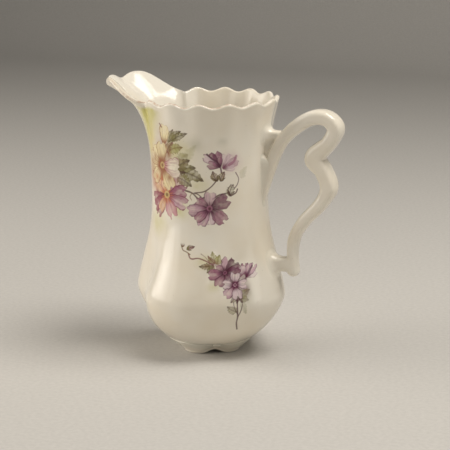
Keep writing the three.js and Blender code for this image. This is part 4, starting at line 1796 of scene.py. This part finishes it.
@dataclass
class FloralTransfers:
    """The two printed sprays on the side that faces the viewer: a garden spray above, a posy on the belly.

    Places are pixels of the photograph's 450 by 450 frame; sizes are millimetres on the wall.
    """

    form: BodyForm
    view: ViewPoint
    neck_turns: Span = (-182.0, -28.0)
    neck_shares: Span = (0.44, 0.995)
    belly_turns: Span = (-104.0, -16.0)
    belly_shares: Span = (0.12, 0.50)
    middle: float = -66.0

    def neck_motifs(self) -> list[Motif]:
        """Motifs of the garden spray, from the ground up.

        Returns:
            What is printed, in the order of printing.
        """
        return [
            Wash((145, 110), 17, 34, Tint.BLUSH_GREEN, 1.0),
            Wash((149, 122), 13, 22, Tint.BLUSH_GREEN, 0.8),
            Wash((150, 132), 9, 22, Tint.BLUSH_GREEN, 0.7),
            Wash((151, 109), 10, 14, Tint.BLUSH_GREEN, 0.8),
            Wash((152, 145), 10, 24, Tint.BUTTER, 0.6),
            Wash((158, 222), 15, 12, Tint.BLUSH_GREEN, 0.55),
            Wash((164, 150), 13, 18, Tint.RUST, 0.65),
            Wash((157, 174), 17, 15, Tint.CORAL, 0.95),
            Wash((163, 174), 13, 11, Tint.RUST, 0.7),
            Wash((199, 186), 9, 6, Tint.BLUSH_GREEN, 0.45),
            Wash((180, 210), 8, 8, Tint.BLUSH_GREEN, 0.7),
            Wash((178, 152), 13, 12, Tint.BLUSH_GREEN, 0.6),
            Wash((195, 145), 7, 7, Tint.SHADE, 0.5),
            Wash((222, 142), 5, 4, Tint.SHADE, 0.35),
            Leaf((183, 166), (196, 145), 6.0, Tint.MOSS, Tint.OLIVE, 0.4, 1.6),
            Leaf((178, 164), (188, 154), 8.0, Tint.OLIVE, Tint.BRONZE, 0.55, 0.9),
            Leaf((241, 178), (247, 166), 5.0, Tint.SHADE, Tint.MOSS, 0.4, 1.0),
            Leaf((168, 143), (173, 129), 4.5, strength=0.75),
            Leaf((169, 142), (181, 131), 5.5),
            Leaf((171, 141), (187.5, 133.5), 5.5),
            Leaf((168, 151), (183, 147.5), 7.0, Tint.MOSS, Tint.BRONZE),
            Leaf((166, 153), (173, 142), 5.5, Tint.BRONZE, Tint.WINE, 0.7),
            Leaf((173, 172), (190, 160), 9.5, Tint.BRONZE, Tint.UMBER, 0.8),
            Leaf((178, 171), (196, 168), 7.5),
            Leaf((180, 171), (204, 181.5), 9.0),
            Leaf((177, 177), (192, 187), 8.0),
            Leaf((174, 171), (186, 173), 5.5, Tint.UMBER, Tint.BARK, 0.75),
            Stem(((179, 188.5), (185, 190.5), (192, 193), (199.5, 199.5), (204, 197.5)), 1.1),
            Stem(((194, 193), (198, 194.5), (201, 197)), 0.7),
            Stem(((217, 180), (211.5, 186.5), (204.5, 191.5), (195, 193)), 0.75),
            Stem(((213, 199), (219.5, 195), (228, 193)), 1.0),
            Stem(((234, 189), (237.2, 184.5), (238.6, 178.6), (235.7, 172.5)), 0.75, Tint.PLUM, 0.75),
            Stem(((192, 193), (190, 197), (191.5, 200)), 0.6, Tint.BRONZE, 0.6),
            Flower((163.5, 146.5), (cream_petal(84, 16.5, 9.5, notch=0.03, outline=0.6),), 0.0),
            Stem(((159.5, 123.5), (161.5, 127)), 1.2, Tint.WINE, 0.6),
            Stem(((163, 143), (166, 148), (168.5, 154)), 0.8, Tint.WINE, 0.75),
            Stem(((160, 144), (163, 149), (164, 156)), 0.7, Tint.BRONZE, 0.7),
            Wash((163, 189), 14, 11, Tint.CORAL, 1.0),
            Wash((161, 181), 15, 9, Tint.CORAL, 0.8),
            Wash((174, 181), 8, 7, Tint.ROSE, 0.6),
            Flower((167, 194.6), (
                coral_petal(150, 15, 11), coral_petal(105, 11, 9), wine_petal(236, 20, 8, Tint.CORAL),
                wine_petal(196, 20, 9), wine_petal(216, 20, 9), coral_petal(48, 13, 9, Tint.MAUVE),
                Petal(14, 18.5, 10, Tint.ROSE, Tint.MAUVE, Tint.WINE, 0.95, 0.2, 1.1),
                Petal(-20, 19, 10, Tint.ROSE, Tint.LILAC, Tint.WINE, 0.95, 0.2, 1.1),
                coral_petal(-122, 15, 8), coral_petal(-68, 17, 10.5, Tint.PINK, notch=0.22, outline=1.1),
            ), 2.5, Tint.BUTTER, Tint.BRONZE, Tint.CORAL),
            Flower((162.5, 165), (
                cream_petal(132, 17, 9), cream_petal(190, 18, 10), cream_petal(160, 18, 10),
                cream_petal(226, 18, 11), cream_petal(94, 17.5, 11.5), cream_petal(-60, 19, 11.5),
                Petal(-3, 16.5, 14, Tint.PINK, Tint.IVORY, Tint.ROSE, 0.95, 0.12, 0.6),
            ), 2.3, Tint.BUTTER, Tint.BRONZE, Tint.RUST),
            Wash((155.5, 157), 3.0, 5.0, Tint.RUST, 0.5),
            Wash((161, 160), 7.0, 8.0, Tint.RUST, 0.4),
            Wash((153.5, 166), 5.0, 15.0, Tint.RUST, 0.5),
            Wash((165, 172), 5.0, 5.0, Tint.RUST, 0.4),
            Wash((169, 154.5), 3.0, 4.0, Tint.RUST, 0.75),
            Wash((157.5, 176), 4.0, 4.0, Tint.CORAL, 0.8),
            Wash((169.5, 177.5), 3.5, 3.5, Tint.RUST, 0.8),
            Wash((158, 192), 3.0, 6.0, Tint.WINE, 0.4),
            Wash((230.5, 162), 9, 8, Tint.LILAC, 0.75),
            Flower((222.5, 169), (
                violet_petal(50, 12.5, 7, 0, strength=0.75, outline=0.35),
                violet_petal(28, 13, 7, 1, strength=0.7, outline=0.4),
                violet_petal(76, 11.5, 7, 0, strength=0.6, outline=0.3),
                violet_petal(4, 9.5, 5, 0, strength=0.6, outline=0.3),
            ), 0.0),
            Flower((220.5, 167.5), (
                violet_petal(112, 12.5, 8.5, 2, notch=0.2), violet_petal(130, 12.5, 6, 3),
                violet_petal(146, 15, 5.5, 0, outline=1.0), violet_petal(164, 9.5, 6, 2),
                violet_petal(96, 7.5, 4, 2),
            ), 0.0),
            Stem(((207, 154.5), (212, 159), (217, 162), (220.5, 168), (221.5, 173)), 1.2, Tint.PLUM),
            Stem(((236, 156), (234, 161), (229, 165)), 1.8, Tint.MAUVE, 0.7),
            Bud((217.5, 181.5), (212.5, 171), 5.2, Tint.BRONZE, Tint.UMBER),
            Bud((220.5, 181.5), (224.5, 171.5), 5.2, Tint.BRONZE, Tint.UMBER),
            Bud((229.5, 196), (233.5, 184), 6.2, Tint.SHADE, Tint.BARK),
            Stem(((230, 196), (228, 190), (231, 184.5)), 0.7, strength=0.7),
            Stem(((231, 196), (236, 192.5), (237.5, 189)), 0.9, strength=0.8),
            Wash((209.6, 208.6), 8, 8, Tint.PLUM, 0.6),
            Flower((209.6, 208.6), (
                violet_petal(88, 12.5, 8.5, 1, strength=0.75), violet_petal(150, 11.5, 8, 2),
                violet_petal(-88, 12, 7, 0), violet_petal(188, 16, 9, 1, outline=1.0),
                violet_petal(-118, 14.5, 7.5, 1), violet_petal(-138, 13.5, 7, 2),
                violet_petal(-42, 15, 10, 2), violet_petal(25, 15, 10.5, 3),
            ), 1.9, Tint.MAUVE, Tint.BARK, Tint.PLUM),
        ]

    def belly_motifs(self) -> list[Motif]:
        """Motifs of the posy, from the ground up.

        Returns:
            What is printed, in the order of printing.
        """
        return [
            Wash((247, 294), 7, 10, Tint.SHADE, 0.8),
            Wash((246, 289), 4.5, 7, Tint.VIOLET, 0.6),
            Wash((214, 287), 6, 5, Tint.BLUSH_GREEN, 0.4),
            Wash((205, 262), 8, 6, Tint.BLUSH_GREEN, 0.4),
            Leaf((240, 298), (250, 289), 5.5, Tint.OLIVE, Tint.BARK, 0.65, 0.5),
            Leaf((240, 299), (249, 300), 4.5, Tint.OLIVE, Tint.BARK, 0.6, 0.5),
            Leaf((241, 302), (246, 314), 4.5, Tint.SHADE, Tint.OLIVE, 0.6, 0.8),
            Leaf((237, 312), (227, 306.5), 6.0, Tint.OLIVE, Tint.BARK, 0.7),
            Leaf((217, 264), (212, 251), 5.0, Tint.MOSS, Tint.OLIVE),
            Leaf((218, 265), (219.5, 254.5), 5.0, Tint.MOSS, Tint.OLIVE),
            Leaf((215, 264), (207.5, 255.5), 3.2, Tint.BRONZE, Tint.WINE, 0.8),
            Leaf((214, 265), (198.5, 266.5), 5.0, Tint.BRONZE, Tint.UMBER),
            Leaf((214, 266), (206.5, 273), 5.0),
            Stem(((188.5, 254), (190, 258), (192, 259), (198, 258.4), (205, 260.8), (213, 265)),
                 0.8, Tint.WINE, 0.8),
            Stem(((181.5, 246), (183, 250), (186.5, 252), (190, 254.5)), 0.7, Tint.BRONZE, 0.85),
            Stem(((201, 254), (205, 257), (209, 262)), 0.5, Tint.WINE, 0.6),
            Bud((182, 247), (184.5, 241), 3.2, Tint.WINE, Tint.BRONZE, 0.75),
            Bud((186.5, 249.5), (195, 246.5), 3.2, Tint.WINE, Tint.MOSS),
            Stem(((237.4, 300), (237.4, 308), (237.6, 316.6), (236.4, 322.8), (236.8, 329)), 0.95),
            Stem(((242.5, 304), (240.8, 311), (238, 316.6)), 0.7, strength=0.75),
            Stem(((233.5, 302), (234.5, 308), (237.2, 314)), 0.6, strength=0.75),
            Flower((246.5, 277.5), (
                violet_petal(24, 9.5, 5.5, 0, strength=0.6), violet_petal(100, 11, 6, 2, notch=0.25),
                violet_petal(52, 12.5, 6.5, 1, notch=0.25), violet_petal(76, 10.5, 5, 1),
            ), 0.0),
            Stem(((244.5, 281), (247.5, 274), (252, 265.5)), 1.3, Tint.PLUM, 0.75),
            Flower((240, 277.5), (violet_petal(72, 8.5, 6.5, 0, notch=0.05),), 0.0),
            Wash((226, 274), 9, 8, Tint.PLUM, 0.85),
            Wash((243.5, 275.5), 4, 5, Tint.VIOLET, 0.8),
            Wash((215.5, 264), 4, 3, Tint.WINE, 0.7),
            Flower((225, 272.8), (
                violet_petal(76, 11.5, 9.5, 1, notch=0.25), violet_petal(150, 8.5, 7, 2),
                violet_petal(184, 12, 8.5, 2, outline=1.0), violet_petal(-120, 11, 7.5, 2),
                violet_petal(-60, 8, 8, 3), Petal(44, 12, 8.5, Tint.PLUM, Tint.PLUM, Tint.BARK, 0.85, 0.2),
                Petal(14, 12, 7.5, Tint.PLUM, Tint.VIOLET, Tint.BARK),
            ), 1.3, Tint.MAUVE, Tint.PLUM, Tint.PLUM),
            Leaf((236, 296), (230.5, 303), 3.4, Tint.PLUM, Tint.BARK),
            Leaf((239, 296), (242.5, 303.5), 3.2, Tint.PLUM, Tint.BARK),
            Leaf((237.5, 296), (236.5, 304), 3.0, Tint.PLUM, Tint.BARK),
            Wash((235, 286), 7.5, 7.5, Tint.PLUM, 0.9),
            Flower((235, 285), (
                violet_petal(-132, 11, 7.5, 1, strength=0.95), pale_petal(174, 9.5, 7.6),
                pale_petal(6, 9.5, 7.2), pale_petal(-76, 10.5, 8.2), pale_petal(88, 9.5, 8),
            ), 1.2, Tint.LILAC, Tint.BARK, Tint.PLUM),
        ]

    def build(self, name: str, motifs: list[Motif], turns: Span, shares: Span) -> bpy.types.Object:
        """Prints one spray.

        Args:
            name: Name of the piece.
            motifs: What is printed, from the ground up.
            turns: Directions between which the sheet lies, in degrees from the handle.
            shares: Shares of the meridian between which it lies.

        Returns:
            The piece.
        """
        sheet = TransferSheet(self.form, self.view, turns, shares, self.middle)
        for motif in motifs:
            motif.paint(sheet)
        return sheet.build(name)

    def dress(self, printed: bpy.types.Material) -> None:
        """Prints both sprays and dresses them.

        Args:
            printed: Material of the glaze with the printed colours over it.
        """
        neck = self.build("neck_floral_transfer", self.neck_motifs(), self.neck_turns, self.neck_shares)
        settle(neck, printed, Slot.PORCELAIN)
        belly = self.build("belly_floral_transfer", self.belly_motifs(), self.belly_turns, self.belly_shares)
        settle(belly, printed, Slot.PORCELAIN)


@dataclass(frozen=True)
class StudioPaper:
    """Matt seamless background paper: a pale even ground that takes soft shadows."""

    name: str = "matt_seamless_paper"
    colour: str = "#C9C6C1"
    fibre_colour: str = "#C1BEB9"
    # Fibres gather in flocs a few millimetres across.
    fibre_mm: float = 3.0
    fibre_detail: float = 5.0
    fibre_span: Span = (0.35, 0.7)
    roughness: float = 0.85

    def material(self) -> bpy.types.Material:
        """Builds the node material.

        Returns:
            The material.
        """
        material, tree, place = new_material(self.name)
        fibre = add_node(tree, "ShaderNodeTexNoise", links={"Vector": place}, values={
            "Scale": 1 / (self.fibre_mm * MM), "Detail": self.fibre_detail})
        tint = add_node(tree, "ShaderNodeValToRGB", links={"Fac": fibre.outputs["Fac"]}, ramp=[
            (self.fibre_span[0], linear(self.colour)), (self.fibre_span[1], linear(self.fibre_colour))])
        shader = add_node(tree, "ShaderNodeBsdfPrincipled", values={"Roughness": self.roughness},
                          links={"Base Color": tint.outputs["Color"]})
        add_node(tree, "ShaderNodeOutputMaterial", links={"Surface": shader.outputs["BSDF"]})
        return material


@dataclass(frozen=True)
class Lamp:
    """Soft rectangular lamp that faces the jug. Distances are in metres, the power is in watts."""

    name: str
    place: tuple[float, float, float]
    size: Pair
    power: float
    colour: str
    aim: tuple[float, float, float] = (0.0, 0.0, 0.09)

    def build(self) -> None:
        """Hangs the lamp."""
        data = bpy.data.lights.new(self.name, "AREA")
        data.shape = "RECTANGLE"
        data.size, data.size_y = self.size
        data.energy = self.power
        data.color = linear(self.colour)[:3]
        lamp = bpy.data.objects.new(self.name, data)
        lamp.location = self.place
        lamp.rotation_mode = "QUATERNION"
        lamp.rotation_quaternion = (Vector(self.aim) - Vector(self.place)).to_track_quat("-Z", "Y")
        bpy.context.scene.collection.objects.link(lamp)


@dataclass
class Studio:
    """Pale floor that sweeps up into a backdrop, soft lamps and a dim even sky. Distances are in metres."""

    paper: StudioPaper
    half_width: float = 6.0
    front: float = -6.0
    back: float = 1.6
    sweep: float = 0.6
    sweep_steps: int = 16
    top: float = 2.4
    sky: str = "#EEECE8"
    sky_strength: float = 0.13
    # The window is three nested panels, so that its reflection is brightest in its middle and soft-edged.
    lamps: tuple[Lamp, ...] = (
        Lamp("window_lamp", (-1.2, -0.5, 0.45), (0.5, 0.4), 1.2, "#FFF8EE"),
        Lamp("window_lamp_middle", (-1.21, -0.504, 0.45), (1.0, 0.75), 4.6, "#FFF8EE"),
        Lamp("window_lamp_edge", (-1.22, -0.508, 0.47), (1.8, 0.84), 9.0, "#FFF8EE"),
        Lamp("strip_lamp", (1.15, -0.5, 0.6), (0.7, 1.0), 2.8, "#FFF9F0"),
        Lamp("top_lamp", (0.5, 0.05, 1.4), (0.8, 0.8), 17.5, "#FFFAF2"),
    )

    def build_ground(self) -> bpy.types.Object:
        """Builds the sweep of paper, which isn't part of the object.

        Returns:
            The ground.
        """
        bend = [(self.back + self.sweep * math.sin(t), self.sweep * (1 - math.cos(t)))
                for t in np.linspace(0.0, math.pi / 2, self.sweep_steps)]
        line = [(self.front, 0.0), *bend, (self.back + self.sweep, self.top)]
        points = [(x, y, z) for y, z in line for x in (-self.half_width, self.half_width)]
        faces = [(2 * i, 2 * i + 1, 2 * i + 3, 2 * i + 2) for i in range(len(line) - 1)]
        mesh = bpy.data.meshes.new("paper_sweep")
        mesh.from_pydata(points, [], faces)
        mesh.polygons.foreach_set("use_smooth", [True] * len(mesh.polygons))
        mesh.materials.append(self.paper.material())
        ground = bpy.data.objects.new("paper_sweep", mesh)
        bpy.context.scene.collection.objects.link(ground)
        return ground

    def build_sky(self) -> None:
        """Gives the world an even dim light."""
        world = bpy.data.worlds.new("even_sky")
        world.use_nodes = True
        world.node_tree.nodes.clear()
        sky = add_node(world.node_tree, "ShaderNodeBackground",
                       values={"Color": linear(self.sky), "Strength": self.sky_strength})
        add_node(world.node_tree, "ShaderNodeOutputWorld", links={"Surface": sky.outputs["Background"]})
        bpy.context.scene.world = world

    def build(self) -> None:
        """Sets up ground, sky, lamps and colour view."""
        self.build_ground()
        self.build_sky()
        for lamp in self.lamps:
            lamp.build()
        bpy.context.scene.view_settings.view_transform = "Standard"


def main() -> None:
    """Builds and dresses the jug, piece by piece, in its studio."""
    logging.basicConfig(level=logging.INFO, format="%(message)s")
    form, view, porcelain = BodyForm(), ViewPoint(), GlazedPorcelain()
    glaze = porcelain.material()
    for assembly in (Vessel(form), Foot(form), Handle(form)):
        assembly.dress(glaze)
    view.build()
    FloralTransfers(form, view).dress(porcelain.material(inked=True))
    Studio(StudioPaper()).build()


if __name__ == "__main__":
    main()
